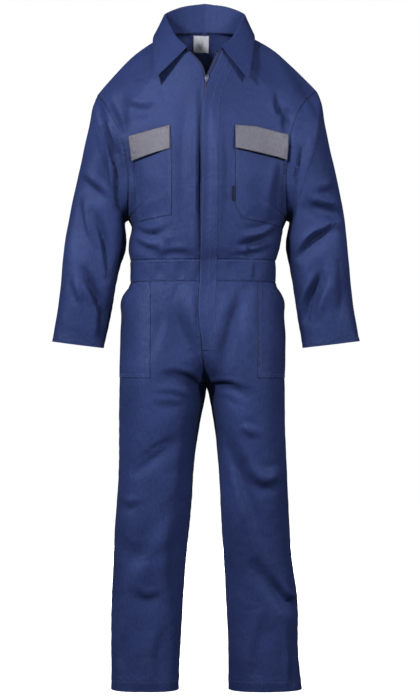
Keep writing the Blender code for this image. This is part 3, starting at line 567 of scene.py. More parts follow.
def feathered(values, shared):
    """Values that reach their shared border values over one coarse cell."""
    rows, columns = values.shape
    for axis, end in ((0, 0), (0, rows - 1), (1, 0), (1, columns - 1)):
        places = [(i, end) if axis else (end, i) for i in range(values.shape[1 - axis])]
        gap = np.array([shared[place] for place in places]) - np.take(values, end, axis)
        steps = np.abs(np.arange(values.shape[axis]) - end)
        share = ease(1 - steps / (1.5 * K))
        values = values + np.expand_dims(gap, axis) * np.expand_dims(share, 1 - axis)
    return values


def offsets(points, path):
    """How far points lie from a path in x and z: to its left, past its ends, and along it."""
    line = smooth_line([(x, 0.0, z) for x, z in zip(path[::2], path[1::2])], PATH_STEPS)[:, (0, 2)]
    ways = np.gradient(line, axis=0)
    ways /= np.linalg.norm(ways, axis=1)[:, None]
    flat = points.reshape(-1, 3)[:, (0, 2)]
    nearest = np.linalg.norm(flat[:, None] - line[None], axis=2).argmin(axis=1)
    gap = flat - line[nearest]
    way = ways[nearest]
    left = way[:, 0] * gap[:, 1] - way[:, 1] * gap[:, 0]
    ahead = np.abs((way * gap).sum(axis=1))
    past = np.where((nearest == 0) | (nearest == PATH_STEPS), ahead, 0.0)
    return left, past, nearest / PATH_STEPS


def faded(along):
    return np.sin(np.pi * (0.12 + 0.76 * along)) ** 0.7


def facing_share(normals, facing):
    return np.clip(facing * normals.reshape(-1, 3)[:, 1] * 2.5, 0.0, 1.0)


def fold_shift(points, normals, facing, half_width, depth, *path):
    """How far one fold moves each point along its normal: a soft trough that fades at its ends."""
    left, past, along = offsets(points, path)
    profile = bell(np.hypot(left, past) / half_width)
    shift = -depth * faded(along) * profile * facing_share(normals, facing)
    return shift.reshape(points.shape[:2])


def crease_shift(points, normals, facing, width, depth, *path):
    """A crease: a narrow bottom, a steep side with a ridge behind it, and a long soft side."""
    left, past, along = offsets(points, path)
    steep = np.exp(-np.abs(left / width) ** 1.5)
    soft = bell(left / (SOFT_SIDE * width))
    ridge = 0.5 * bell((left - 2.0 * width) / (1.1 * width))
    profile = np.where(left > 0, steep, soft) - ridge
    ends = np.sin(np.pi * (0.04 + 0.92 * along)) ** 0.8 * bell(past / width)
    shift = -depth * ends * profile * facing_share(normals, facing)
    return shift.reshape(points.shape[:2])


def swell(points):
    """Slow uneven swells over the whole cloth, in millimetres."""
    x, y, z = points[..., 0], points[..., 1], points[..., 2]
    slow = np.sin(x / 37 + 1.4 * np.sin(z / 91) + 0.4) * np.sin(z / 71 + y / 53 + 0.9)
    tall = np.sin(x / 23 + y / 31 + 0.8 * np.sin(z / 130 + 2.1)) * np.sin(z / 160 + x / 90)
    small = np.sin(x / 15 - z / 26 + 0.7) * np.sin(z / 19 + y / 22 + x / 47)
    return 1.5 * slow + 1.5 * tall + 0.3 * small


def at(values, places, axis):
    """Values read at fractional places along an axis."""
    low = np.clip(np.floor(places).astype(int), 0, values.shape[axis] - 2)
    part = places - low
    shape = [1] * values.ndim
    shape[axis] = len(places)
    part = part.reshape(shape)
    return np.take(values, low, axis=axis) * (1 - part) + np.take(values, low + 1, axis=axis) * part


def with_border_lines(count):
    """Places along an axis of count points, closer together near its two ends."""
    start = [0.0, 0.27, 0.62, 1.0, 1.4, 2.0]
    middle = [float(i) for i in range(3, count - 3)]
    return np.array(start + middle + [count - 1 - v for v in start[::-1]])


def distances(points):
    """How far each point is from its grid's first and last column, and first and last row."""
    across = np.linalg.norm(np.diff(points, axis=1), axis=2)
    along = np.linalg.norm(np.diff(points, axis=0), axis=2)
    left = np.concatenate([np.zeros((len(points), 1)), np.cumsum(across, axis=1)], axis=1)
    top = np.concatenate([np.zeros((1, points.shape[1])), np.cumsum(along, axis=0)], axis=0)
    return left, left[:, -1:] - left, top, top[-1:] - top


def mesh_object(name, verts, faces, uvs, seam, material):
    """A smooth mesh in metres, with each corner's texture place and how near a seam each point is."""
    mesh = bpy.data.meshes.new(name)
    mesh.from_pydata((np.asarray(verts) * MM).tolist(), [], faces)
    if uvs is not None:
        layer = mesh.uv_layers.new(name="UVMap")
        layer.data.foreach_set("uv", (np.asarray(uvs, np.float32) * MM).ravel())
    if seam is not None:
        attribute = mesh.attributes.new("seam", "FLOAT", "POINT")
        attribute.data.foreach_set("value", np.asarray(seam, np.float32))
    mesh.shade_smooth()
    mesh.set_sharp_from_angle(angle=SHARP_ANGLE)
    mesh.materials.append(material)
    return placed(name, mesh, (0.0, 0.0, 0.0))


class Grid:
    """A finished grid of cloth: points, normals, thickness and how near a seam each point is."""

    def __init__(self, points, normals, thickness, seam):
        self.points = points
        self.normals = normals
        self.thickness = thickness
        self.seam = seam


def quads_of(grid, start):
    """The grid's faces, turned so that they look the way its normals do."""
    rows, columns = grid.points.shape[:2]
    index = np.arange(rows * columns).reshape(rows, columns) + start
    a, b = index[:-1, :-1].ravel(), index[:-1, 1:].ravel()
    c, d = index[1:, 1:].ravel(), index[1:, :-1].ravel()
    quads = np.stack([a, b, c, d], axis=1)
    r, q = rows // 2, columns // 2
    points = grid.points
    way = np.cross(points[r, q + 1] - points[r, q], points[r + 1, q] - points[r, q])
    return quads[:, ::-1] if np.dot(way, grid.normals[r, q]) < 0 else quads


def shell(name, grids, material):
    """A thin closed shell of cloth round one or more grids, which share points where they meet."""
    points = np.concatenate([g.points.reshape(-1, 3) for g in grids])
    normals = np.concatenate([g.normals.reshape(-1, 3) for g in grids])
    half = np.concatenate([g.thickness.ravel() for g in grids])[:, None] / 2
    seam = np.concatenate([g.seam.ravel() for g in grids])
    uvs, starts, start = [], [], 0
    for g in grids:
        left, _, top, _ = distances(g.points)
        rows, columns = g.points.shape[:2]
        uv = np.stack([left, np.repeat(top[:, columns // 2][:, None], columns, axis=1)], axis=2)
        uvs.append(uv.reshape(-1, 2))
        starts.append(start)
        start += rows * columns
    uvs = np.concatenate(uvs)
    quads = np.concatenate([quads_of(g, s) for g, s in zip(grids, starts)])
    _, first, merged = np.unique(np.round(points, 3), axis=0, return_index=True, return_inverse=True)
    merged = merged.ravel()
    count = len(first)
    solid = merged[quads]
    edges = np.concatenate([np.stack([quads[:, i], quads[:, (i + 1) % 4]], axis=1) for i in range(4)])
    ways = merged[edges]
    open_edge = ~np.isin(ways[:, 0] * count + ways[:, 1], ways[:, 1] * count + ways[:, 0])
    open_edge &= ways[:, 0] != ways[:, 1]
    a, b = edges[open_edge].T
    wall = np.stack([merged[b], merged[a], merged[a] + count, merged[b] + count], axis=1)
    wall_uv = np.stack([b, a, a, b], axis=1)
    faces = np.concatenate([solid, solid[:, ::-1] + count, wall])
    loop_uv = uvs[np.concatenate([quads, quads[:, ::-1], wall_uv])]
    outer = (points + normals * half)[first]
    inner = (points - normals * half)[first]
    verts = np.concatenate([outer, inner])
    loop_uv = loop_uv.reshape(-1, 2)
    return mesh_object(name, verts, faces.tolist(), loop_uv, np.tile(seam[first], 2), material)


# Materials: where the painted shade of a seam's dark groove starts (1 is on the seam), how far
# the painted shade of places sheltered from light reaches in metres, how much roughness
# varies, and the colours of reflections
PAINTED_GROOVE_FROM = 0.965
PAINTED_SHADE_REACH = 0.08
ROUGH_SPREAD = 0.07
WHITE = (1.0, 1.0, 1.0)
NAVY_GLEAM = (0.4, 0.55, 1.0)


def nodes_of(name):
    made = bpy.data.materials.new(name)
    made.use_nodes = True
    tree = made.node_tree
    return made, tree, tree.nodes["Principled BSDF"]


def set_sockets(made, values):
    for name, value in values.items():
        made.inputs[name].default_value = value


def node(tree, kind, links=(), sockets=(), **settings):
    """A shader node with its settings, the values of its sockets and its links."""
    made = tree.nodes.new(kind)
    for key, value in settings.items():
        setattr(made, key, value)
    set_sockets(made, dict(sockets))
    for source, socket in links:
        tree.links.new(source, made.inputs[socket])
    return made


def noise(tree, source, scale, detail=2.0, distortion=0.0):
    sockets = {"Scale": scale, "Detail": detail, "Distortion": distortion}
    return node(tree, "ShaderNodeTexNoise", [(source, 0)], sockets).outputs[0]


def wave(tree, source, direction, scale, distortion, detail):
    sockets = {"Scale": scale, "Distortion": distortion, "Detail": detail}
    made = node(tree, "ShaderNodeTexWave", [(source, 0)], sockets, bands_direction=direction)
    return made.outputs["Fac"]


def mixed(tree, factor, low, high):
    """A colour mix of two colours or sockets by a socket."""
    mix = node(tree, "ShaderNodeMix", data_type="RGBA")
    for socket, value in ((0, factor), (6, low), (7, high)):
        if isinstance(value, tuple):
            mix.inputs[socket].default_value = (*value, 1.0)
        else:
            tree.links.new(value, mix.inputs[socket])
    return mix.outputs[2]


def ranged(tree, source, low, high, to_low, to_high):
    sockets = {1: low, 2: high, 3: to_low, 4: to_high}
    return node(tree, "ShaderNodeMapRange", [(source, 0)], sockets).outputs[0]


def bumped(tree, height, distance, strength, before=None):
    links = [(height, "Height")] + ([(before, "Normal")] if before else [])
    sockets = {"Strength": strength, "Distance": distance}
    return node(tree, "ShaderNodeBump", links, sockets).outputs[0]


def object_space(tree):
    return tree.nodes.new("ShaderNodeTexCoord").outputs["Object"]


def twill(
    name, deep, lit, pitch=0.0015, rough=0.56, sheen=0.04, crush=1.0, gleam=NAVY_GLEAM, shade=0.85,
):
    """Twill cloth: slanted ribs crossed by yarns, patchy dye, soft crumples, and painted shade
    in seam grooves and in sheltered places.

    Pitch is the ribs' in metres, crush the strength of the crumples, gleam the colour of
    reflections and shade how dark the painted shade in sheltered places gets.
    """
    made, tree, shader = nodes_of(name)
    uv = node(tree, "ShaderNodeUVMap", uv_map="UVMap").outputs[0]
    space = object_space(tree)
    ribs = wave(tree, uv, "DIAGONAL", 0.628 / pitch, 0.6, 1.0)
    yarns = wave(tree, uv, "Y", 0.314 / (pitch * 0.6), 1.2, 2.0)
    slub = noise(tree, uv, 650.0)
    stretch = {1: (1.0, 0.35, 1.0)}
    stretched = node(tree, "ShaderNodeVectorMath", [(uv, 0)], stretch, operation="MULTIPLY")
    patch = noise(tree, space, 6.5, 3.0)
    crumple = noise(tree, space, 21.0, 2.5, 0.7)
    pucker = noise(tree, space, 125.0, 1.5)
    seam = node(tree, "ShaderNodeAttribute", attribute_name="seam").outputs["Fac"]
    fleck = noise(tree, stretched.outputs[0], 210.0, 3.0)
    painted_shelter_shade = node(tree, "ShaderNodeAmbientOcclusion", (), {1: PAINTED_SHADE_REACH}, samples=6)
    tone = mixed(tree, ranged(tree, patch, 0.3, 0.7, 0.0, 1.0), deep, lit)
    # What each layer follows, its range there, its strength at both ends, its colour and tint
    for source, low, high, weak, strong, colour, tint in (
        (ribs, 0.0, 1.0, 0.0, 0.2, lit, 1.35),
        (slub, 0.35, 0.75, 0.0, 0.3, deep, 0.45),
        (fleck, 0.42, 0.7, 0.0, 0.34, deep, 0.5),
        # Painted shade: darker colour where the cloth is sheltered from light, in creases, folds,
        # recesses and under laid pieces
        (painted_shelter_shade.outputs["AO"], 0.3, 0.92, shade, 0.0, deep, 0.3),
        # Painted shade: darker colour right on seams, stitch lines and outlines, as in a groove's
        # shadow
        (seam, PAINTED_GROOVE_FROM, 1.0, 0.0, 0.8, deep, 0.3),
    ):
        factor = ranged(tree, source, low, high, weak, strong)
        tone = mixed(tree, factor, tone, tuple(tint * v for v in colour))
    tree.links.new(tone, shader.inputs["Base Color"])
    roughness = ranged(tree, slub, 0.3, 0.7, rough - ROUGH_SPREAD, rough + ROUGH_SPREAD)
    tree.links.new(roughness, shader.inputs["Roughness"])
    set_sockets(shader, {
        "Specular IOR Level": 0.22,
        "Specular Tint": (*gleam, 1.0),
        "Sheen Weight": sheen,
        "Sheen Roughness": 0.45,
        "Sheen Tint": (0.5, 0.66, 1.0, 1.0),
    })
    puckers = node(tree, "ShaderNodeMath", [(seam, 0), (pucker, 1)], operation="MULTIPLY").outputs[0]
    bump = None
    for height, distance, strength in (
        (crumple, 0.0045 * crush, 0.6),
        (puckers, 0.0022, 0.6),
        (ribs, 0.00016, 0.5),
        (yarns, 0.00008, 0.35),
    ):
        bump = bumped(tree, height, distance, strength, bump)
    tree.links.new(bump, shader.inputs["Normal"])
    return made


def thread(name, deep, lit):
    """Sewing thread: twisted strands across its length."""
    made, tree, shader = nodes_of(name)
    fleck = noise(tree, object_space(tree), 900.0)
    tone = mixed(tree, ranged(tree, fleck, 0.3, 0.7, 0.0, 1.0), deep, lit)
    tree.links.new(tone, shader.inputs["Base Color"])
    tree.links.new(bumped(tree, fleck, 0.0002, 0.5), shader.inputs["Normal"])
    set_sockets(shader, {"Roughness": 0.55, "Sheen Weight": 0.3})
    return made


def zinc(name, deep, lit):
    """Brushed zip metal with a faint coloured plating."""
    made, tree, shader = nodes_of(name)
    brushed = noise(tree, object_space(tree), 1400.0, 3.0)
    tree.links.new(mixed(tree, brushed, deep, lit), shader.inputs["Base Color"])
    tree.links.new(ranged(tree, brushed, 0.2, 0.8, 0.28, 0.5), shader.inputs["Roughness"])
    tree.links.new(bumped(tree, brushed, 0.0001, 0.3), shader.inputs["Normal"])
    set_sockets(shader, {"Metallic": 1.0})
    return made


# Main creases on top of the solids' folds, told in the same way. A crease is steep on the
# left of its path and soft on the right
CREASES = {
    ("front_right", -1): (
        (8, 10, -188, -250, -206, -206, -222, -160), (9, 6.5, -196, -176, -150, -196, -112, -190),
        (10, 6.5, -176, -452, -164, -392, -172, -322), (7, 8.5, -176, -500, -142, -524, -104, -534),
        (6, 6.5, -172, -476, -136, -492, -96, -490), (6, 5, -110, -544, -70, -538, -30, -541),
        (13, 5.5, -46, -470, -54, -300, -42, -180), (9, -4, -122, -500, -70, -500),
        (5.5, 9, -12, -548, -11, -380, -10, -150), (5, 4, -88, -552, -92, -512),
    ),
    ("front_left", -1): (
        (6, 6.5, 210, -236, 203, -210, 182, -194, 172, -156),
        (6, -6.5, 160, -172, 166, -206, 190, -226), (7, 5, 199, -262, 193, -226, 206, -186),
        (10, 6.5, 168, -450, 172, -392, 184, -322), (7.5, 10, 84, -520, 137, -506, 178, -478),
        (6, 7, 72, -543, 120, -538, 168, -519), (6, -5, 92, -494, 140, -486, 172, -470),
        (13, 5.5, 50, -500, 56, -330, 44, -180), (11, -3.5, 26, -520, 30, -330, 26, -200),
        (5, 4, 104, -552, 110, -516),
    ),
    ("waistband_front_right", -1): (
        (6, 5, -14, -606, -13, -578, -12, -550), (5, 2.5, -112, -600, -108, -560),
        (6, 2.5, -58, -600, -62, -558),
    ),
    ("trouser_front_right", -1): (
        (6, 6, -8, -770, -15, -700, -14, -608), (5, 2, -72, -648, -66, -608),
        (6.5, 4.5, -96, -822, -60, -824, -28, -838, -6, -866),
        (6, 3, -116, -868, -72, -872, -34, -888), (7, 3, -120, -900, -86, -896, -52, -902),
        (22, 15, -92, -622, -72, -690, -28, -786), (9, -5, -112, -790, -90, -700, -100, -620),
        (10, 5, -170, -1062, -120, -1020, -70, -982),
        (5, -3.5, -164, -1044, -118, -1010, -78, -984),
        (16, -7, -176, -1336, -132, -1266, -90, -1180), (14, 7, -64, -1400, -72, -1290, -60, -1180),
        (8, 5, -172, -1348, -136, -1364, -104, -1352),
        (8, 5, -210, -1128, -184, -1142, -150, -1134),
        (11, 5, -188, -1560, -196, -1490, -176, -1420),
        (11, 5, -100, -1580, -110, -1500, -96, -1430), (14, 5, -44, -1130, -34, -1020, -30, -930),
    ),
    ("collar", 1): (
        (7, 3, -44, 20, -40, 74), (6, -2, -20, 18, -17, 78), (8, 3.5, 22, 16, 19, 80),
        (7, 3, 46, 22, 43, 72),
    ),
    ("waistband_front_left", -1): (
        (6, 2.5, 64, -600, 60, -558), (5, 2.5, 118, -600, 122, -560),
    ),
    ("trouser_front_left", -1): (
        (5, 2, 104, -650, 96, -608), (6.5, 4, 8, -856, 50, -850, 94, -864),
        (6, 3, 18, -878, 56, -884, 90, -900), (12, 8.5, 42, -820, 56, -740, 92, -612),
        (9, -4, 112, -780, 100, -700, 112, -620),
        (9, 6.5, 92, -1022, 104, -1064, 134, -1092, 178, -1082),
        (8, -5, 118, -1040, 146, -1062, 178, -1056), (9, 6.5, 150, -1262, 96, -1110, 40, -960),
        (6.5, 8, 166, -1322, 202, -1366, 232, -1380), (7, -5, 188, -1334, 212, -1356, 228, -1362),
        (6, -4.5, 92, -944, 122, -960), (7, 3, 84, -958, 116, -978, 136, -974),
        (9, 7, 212, -1580, 218, -1500, 206, -1430), (12, 5.5, 120, -1570, 128, -1480, 150, -1400),
        (13, 5, 66, -1380, 74, -1280, 92, -1180),
    ),
    ("back", 1): (
        (12, 8.5, -122, -440, -150, -330, -184, -250), (12, 8.5, 128, -450, 160, -330, 190, -240),
        (10, 7, -58, -548, -66, -490, -60, -400), (10, 7, 70, -548, 66, -480, 58, -390),
        (14, 5.5, -120, -120, -40, -170, 40, -176, 120, -120),
        (11, 5.5, -14, -545, -4, -420, -8, -300), (8, 6.5, -170, -500, -130, -528, -80, -538),
        (8, 6.5, 84, -540, 134, -528, 170, -498),
    ),
    ("sleeve_right", -1): (
        (7, 13, -205, -430, -209, -330, -226, -240, -247, -168),
        (6.5, 13, -224, -586, -236, -520, -260, -446),
        (6, -7.5, -262, -520, -282, -462, -290, -410),
        (6.5, 13, -238, -690, -262, -636, -294, -576), (6, -7.5, -296, -650, -312, -598),
        (8, 9, -302, -352, -268, -380, -240, -404), (8, 7, -246, -740, -244, -700, -236, -660),
        (13, 6.5, -296, -560, -306, -480, -292, -360),
    ),
    ("sleeve_left", -1): (
        (6.5, 13, 224, -546, 250, -510, 306, -476), (7, 10.5, 252, -420, 290, -428, 332, -436),
        (6, -7, 286, -458, 312, -462, 332, -454), (6.5, 13, 236, -704, 246, -648, 280, -584),
        (6, -7.5, 268, -690, 282, -640, 304, -600), (7, 10, 222, -400, 226, -320, 236, -240),
        (8, 6.5, 268, -392, 304, -384, 322, -372), (6, 7, 266, -204, 260, -180, 250, -158),
        (13, 6.5, 322, -700, 330, -620, 322, -540),
    ),
    ("sleeve_left", 1): (
        (9, 10.5, 236, -490, 266, -456, 306, -424), (9, 10, 246, -640, 290, -650, 330, -636),
        (10, 8.5, 226, -400, 232, -320, 246, -240),
    ),
    ("sleeve_right", 1): (
        (9, 10.5, -226, -490, -256, -458, -296, -430), (9, 10, -322, -636, -286, -650, -244, -642),
        (10, 8.5, -210, -400, -218, -320, -236, -240),
    ),
    ("trouser_back_left", 1): (
        (9, 7, 22, -790, 70, -826, 130, -846), (9, 6.5, 56, -1116, 116, -1130, 180, -1104),
        (10, 6, 78, -1390, 140, -1412, 206, -1396), (13, 6, 104, -1110, 92, -1020, 60, -930),
        (12, 5.5, 150, -1560, 140, -1480, 156, -1410),
    ),
    ("trouser_back_right", 1): (
        (9, 7, -130, -846, -70, -826, -20, -790), (9, 6.5, -184, -1112, -118, -1136, -56, -1120),
        (10, 6, -206, -1384, -140, -1400, -76, -1380), (13, 6, -108, -1110, -94, -1020, -60, -930),
        (12, 5.5, -150, -1560, -140, -1480, -156, -1410),
    ),
}


# Pieces that are cut whole but made of two grids here
HALVES = {"back": ("back_left", "back_right")}


def make_panels():
    fronts = {side: front_grid(side) for side in SIDES}
    backs = {side: back_grid(side) for side in SIDES}
    panels, collars = {}, {}
    trouser_backs = {}
    for side, word in SIDES.items():
        trouser_front, trouser_back = trouser_grid(side, -1), trouser_grid(side, 1)
        trouser_backs[side] = trouser_back
        panels["front_" + word] = Panel(fronts[side], facing_out(-1))
        band = band_grid(fronts[side][0], trouser_front[0])
        panels["waistband_front_" + word] = Panel(band, facing_out(-1))
        panels["trouser_front_" + word] = Panel(trouser_front, facing_out(-1))
        panels["trouser_back_" + word] = Panel(trouser_back, facing_out(1))
        panels["sleeve_" + word] = Panel(sleeve_grid(side, fronts[side], backs[side]), ring_out, True)
        neckline = np.concatenate([
            fronts[side][CENTRE_FRONT_ROWS * K:, 0],
            backs[side][CENTRE_BACK_ROWS * K:, 0][::-1][1:],
        ])
        collars[side] = collar_half(side, neckline)
    for side, word in SIDES.items():
        panels["back_" + word] = Panel(backs[side], facing_out(1))
    back_row = np.concatenate([backs[LEFT][0][::-1], backs[RIGHT][0][1:]])
    seat_row = np.concatenate([trouser_backs[LEFT][0][::-1], trouser_backs[RIGHT][0][1:]])
    panels["waistband_back"] = Panel(band_grid(back_row, seat_row), facing_out(1))
    collar = np.concatenate([collars[LEFT], collars[RIGHT][:, ::-1][:, 1:]], axis=1)
    panels["collar"] = Panel(collar, collar_out)
    return panels


def fold_panels(panels):
    normals = shared_normals(panels)
    shifts = {name: np.zeros(panel.points.shape[:2]) for name, panel in panels.items()}
    for folds, shifted in ((FOLDS, fold_shift), (CREASES, crease_shift)):
        for (piece, facing), rows in folds.items():
            for name in HALVES.get(piece, (piece,)):
                for fold in rows:
                    shifts[name] += shifted(panels[name].points, normals[name], facing, *fold)
    shared = share_at_seams(panels, shifts)
    for name, panel in panels.items():
        shift = feathered(shifts[name], shared[name])
        if name != "collar":
            shift = shift + swell(panel.points)
        panel.points = panel.points + normals[name] * shift[:, :, None]
    return shared_normals(panels)


# Turned hems and the thickness they add, how far the waistband stands up between its seams,
# and how far the fly lies above the fronts
HEM_WIDTH = {"sleeve": 10.0, "trouser": 24.0}
HEM_EXTRA = 0.9
BAND_RISE = 0.4
FLY_FLAT = 0.9
# How far round an outline cloth is cut from, and how far in from it extra lines run
CUT_MARGIN = 12
EDGE_LINES = (1.5, 4.0, 8.0)


def kind_of(name):
    return name.split("_")[0]


def seams_and_hem(name, points, rows):
    """Lines of a panel's points that are sewn to another panel, and its hem if it has one."""
    kind = kind_of(name)
    if kind in ("front", "back"):
        neck = CENTRE_FRONT_ROWS if kind == "front" else CENTRE_BACK_ROWS
        start = int(np.searchsorted(rows, neck * K))
        return [points[0], points[-1], points[:, -1], points[start:, 0]], None
    if kind == "waistband":
        sides = [points[:, -1]] + ([points[:, 0]] if name == "waistband_back" else [])
        return [points[0], points[-1]] + sides, None
    if kind == "collar":
        return [points[0]], None
    return [points[0], points[:, 0], points[:, -1]], points[-1]


def nearness(points, lines):
    """The distance from each point to the nearest point of some lines."""
    known = np.concatenate(lines)
    tree = KDTree(len(known))
    for i, point in enumerate(known):
        tree.insert(point, i)
    tree.balance()
    flat = points.reshape(-1, 3)
    return np.array([tree.find(point)[2] for point in flat]).reshape(points.shape[:2])


def ease(value):
    value = np.clip(value, 0.0, 1.0)
    return value * value * (3 - 2 * value)


def bell(value):
    return np.exp(-(value**2))


def puckers(points, distance, reach=13.0, depth=0.55):
    """Short uneven gathers beside a seam, the same on both of its sides."""
    x, y, z = points[..., 0], points[..., 1], points[..., 2]
    along = 0.62 * z + 0.55 * x + 0.37 * y
    wave = np.sin(along / 2.9 + 1.3 * np.sin(along / 17)) * (0.65 + 0.35 * np.sin(along / 41 + 1))
    return depth * wave * bell(distance / reach) * ease(distance / 5 + 0.25)


def finished_panel(name, points, normals):
    """A panel's grid with closer lines at its borders, grooves at seams and double hems."""
    rows, columns = with_border_lines(len(points)), with_border_lines(points.shape[1])
    points = at(at(points, rows, 0), columns, 1)
    normals = at(at(normals, rows, 0), columns, 1)
    normals /= np.linalg.norm(normals, axis=2)[:, :, None]
    kind = kind_of(name)
    seams, hem = seams_and_hem(name, points, rows)
    near = nearness(points, seams)
    relief = -0.9 * bell(near / 2.4) - 0.3 * bell((near - 7) / 1.6) + puckers(points, near)
    thickness = np.full(near.shape, COLLAR_SHOWN if kind == "collar" else CLOTH)
    # How near a seam: this sets the puckers, and close to the seam the painted groove shade of the
    # cloth
    seam = bell(near / 11)
    if kind == "waistband":
        relief += BAND_RISE * ease((near - 1.5) / 3) + 0.4 * bell(near / 2.4)
        # Kept under where painted groove shade starts, so the waistband's seams get none
        seam = 0.96 * seam
    if kind == "collar":
        edge = nearness(points, [points[-1], points[-28:, 0], points[-28:, -1]])
        relief += -0.35 * bell((edge - 6) / 1.6) * ease(near / 20)
        # Painted groove shade along the collar's stitch line, about 5 mm in from its edges
        seam = np.maximum(seam, bell((edge - 5) / 7))
        thickness -= 0.9 * bell(edge / 1.3)
    if hem is not None:
        width = HEM_WIDTH[kind]
        edge = nearness(points, [hem])
        inside = 1 - ease((edge - width) / 2 + 0.5)
        thickness += HEM_EXTRA * inside
        relief += puckers(points, np.abs(edge - width), 9.0, 0.6) - 0.35 * bell((edge - width) / 1.8)
        # Painted groove shade along the hem's stitch line
        seam = np.maximum(seam, bell((edge - width) / 10))
    return Grid(points + normals * relief[:, :, None], normals, thickness, seam)


def cut_cloth(grids, outline, insets):
    """What a panel's grids have inside an outline in x and z, with extra lines along its edges."""
    mesh = bmesh.new()
    normal_of = mesh.verts.layers.float_vector.new("normal")
    place_of = mesh.verts.layers.float_vector.new("place")
    corners = np.array(outline, float)
    low, high = corners.min(axis=0) - CUT_MARGIN, corners.max(axis=0) + CUT_MARGIN
    made = {}
    for points, normals in grids:
        left, _, top, _ = distances(points)
        rows, columns = points.shape[:2]
        flat = points[..., (0, 2)]
        inside = ((flat > low) & (flat < high)).all(axis=2)
        cells = inside[:-1, :-1] | inside[1:, :-1] | inside[:-1, 1:] | inside[1:, 1:]
        r, q = rows // 2, columns // 2
        way = np.cross(points[r, q + 1] - points[r, q], points[r + 1, q] - points[r, q])
        turned = np.dot(way, normals[r, q]) < 0
        for r, c in zip(*np.nonzero(cells)):
            ring = []
            for i, j in ((r, c), (r, c + 1), (r + 1, c + 1), (r + 1, c)):
                key = seam_key(points[i, j])
                if key not in made:
                    vert = made[key] = mesh.verts.new(points[i, j])
                    vert[normal_of] = normals[i, j]
                    vert[place_of] = (left[i, j], top[i, columns // 2], 0.0)
                ring.append(made[key])
            mesh.faces.new(ring[::-1] if turned else ring)
    middle = corners.mean(axis=0)
    planes = []
    for (ax, az), (bx, bz) in zip(corners, np.roll(corners, -1, axis=0)):
        out = np.array([bz - az, ax - bx])
        out /= np.linalg.norm(out)
        if np.dot(out, middle - (ax, az)) > 0:
            out = -out
        planes.append((np.array([ax, az]), out))
    for inset in (0.0, *insets):
        for start, out in planes:
            place = start - out * inset
            bmesh.ops.bisect_plane(
                mesh, geom=mesh.verts[:] + mesh.edges[:] + mesh.faces[:], dist=1e-4,
                plane_co=(place[0], 0.0, place[1]), plane_no=(out[0], 0.0, out[1]),
                clear_outer=inset == 0.0)
    mesh.verts.index_update()
    points = np.array([v.co[:] for v in mesh.verts])
    normals = np.array([v[normal_of][:] for v in mesh.verts])
    normals /= np.linalg.norm(normals, axis=1)[:, None]
    places = np.array([v[place_of][:2] for v in mesh.verts])
    faces = [tuple(v.index for v in face.verts) for face in mesh.faces]
    edges = []
    for edge in mesh.edges:
        if len(edge.link_loops) == 1:
            loop = edge.link_loops[0]
            edges.append((loop.vert.index, loop.link_loop_next.vert.index))
    mesh.free()
    depths = np.array([-(points[:, (0, 2)] - start) @ out for start, out in planes])
    return points, normals, places, faces, edges, depths


def slab(name, points, normals, places, faces, edges, lift, thickness, seam, material):
    """A closed piece of cloth lift above the points it was cut from."""
    count = len(points)
    half = thickness / 2
    verts = np.concatenate([
        points + normals * (lift + half)[:, None],
        points + normals * (lift - half)[:, None],
    ])
    solid = list(faces) + [tuple(i + count for i in face[::-1]) for face in faces]
    solid += [(b, a, a + count, b + count) for a, b in edges]
    index = np.concatenate([np.array(face) for face in solid]) % count
    return mesh_object(name, verts, solid, places[index], np.tile(seam, 2), material)


# How far pieces are lifted off the panel they lie on, how far a flap stands off below and a
# hip pocket opens, and which edge of the hip pocket's outline is its opening, by x > 0
LAID_LIFT = 1.3
FLAP_LIFT = 2.9
FLAP_STANDS_OFF = 5.5
HIP_GAPE = 9.0
HIP_OPENING = {True: 3, False: 1}
HIP_OPENING_Z = -656
UNDER_FLAP_Z = -305


def pocket_lift(points, depths):
    """A patch pocket: flat under its flap, filled out below it, and sewn down at its edges."""
    edge = depths.min(axis=0)
    below = ease((UNDER_FLAP_Z - points[:, 2]) / 60)
    wave = 0.25 * np.sin(points[:, 0] / 13 + points[:, 2] / 23)
    return LAID_LIFT + 1.5 * ease(edge / 26) * below + wave * below


def flap_lift(points, depths):
    """A flap: sewn along its top, standing off over the pocket at its free edge."""
    top = np.minimum(depths[-1], 60.0)
    free = ease(top / 55)
    curl = np.sin(points[:, 0] / 21 + 0.6) * 0.9 + np.sin(points[:, 0] / 9.0) * 0.3
    return FLAP_LIFT + FLAP_STANDS_OFF * free + curl * free


def hip_lift(points, depths):
    """A hip pocket, whose slanted opening stands off the trousers."""
    opening = depths[HIP_OPENING[points[0, 0] > 0]]
    edge = depths.min(axis=0)
    gape = bell(opening / 18) * bell((points[:, 2] - HIP_OPENING_Z) / 32)
    return LAID_LIFT + 0.9 * ease(edge / 30) + HIP_GAPE * gape


def label_lift(points, depths):
    down = ease((5 - points[:, 2]) / 44)
    return -1.25 - 1.6 * down - 0.5 * down * np.sin(points[:, 0] / 6)


def tab_lift(points, depths):
    return LAID_LIFT + 0.25 * np.sin(points[:, 2] / 5)


LIFTS = {
    "chest": pocket_lift,
    "pocket_flap": flap_lift,
    "hip": hip_lift,
    "neck": label_lift,
    "pocket_tab": tab_lift,
}
THICKNESS = {"chest": 1.1, "pocket_flap": 1.9, "hip": 1.1, "neck": 0.7, "pocket_tab": 0.8}


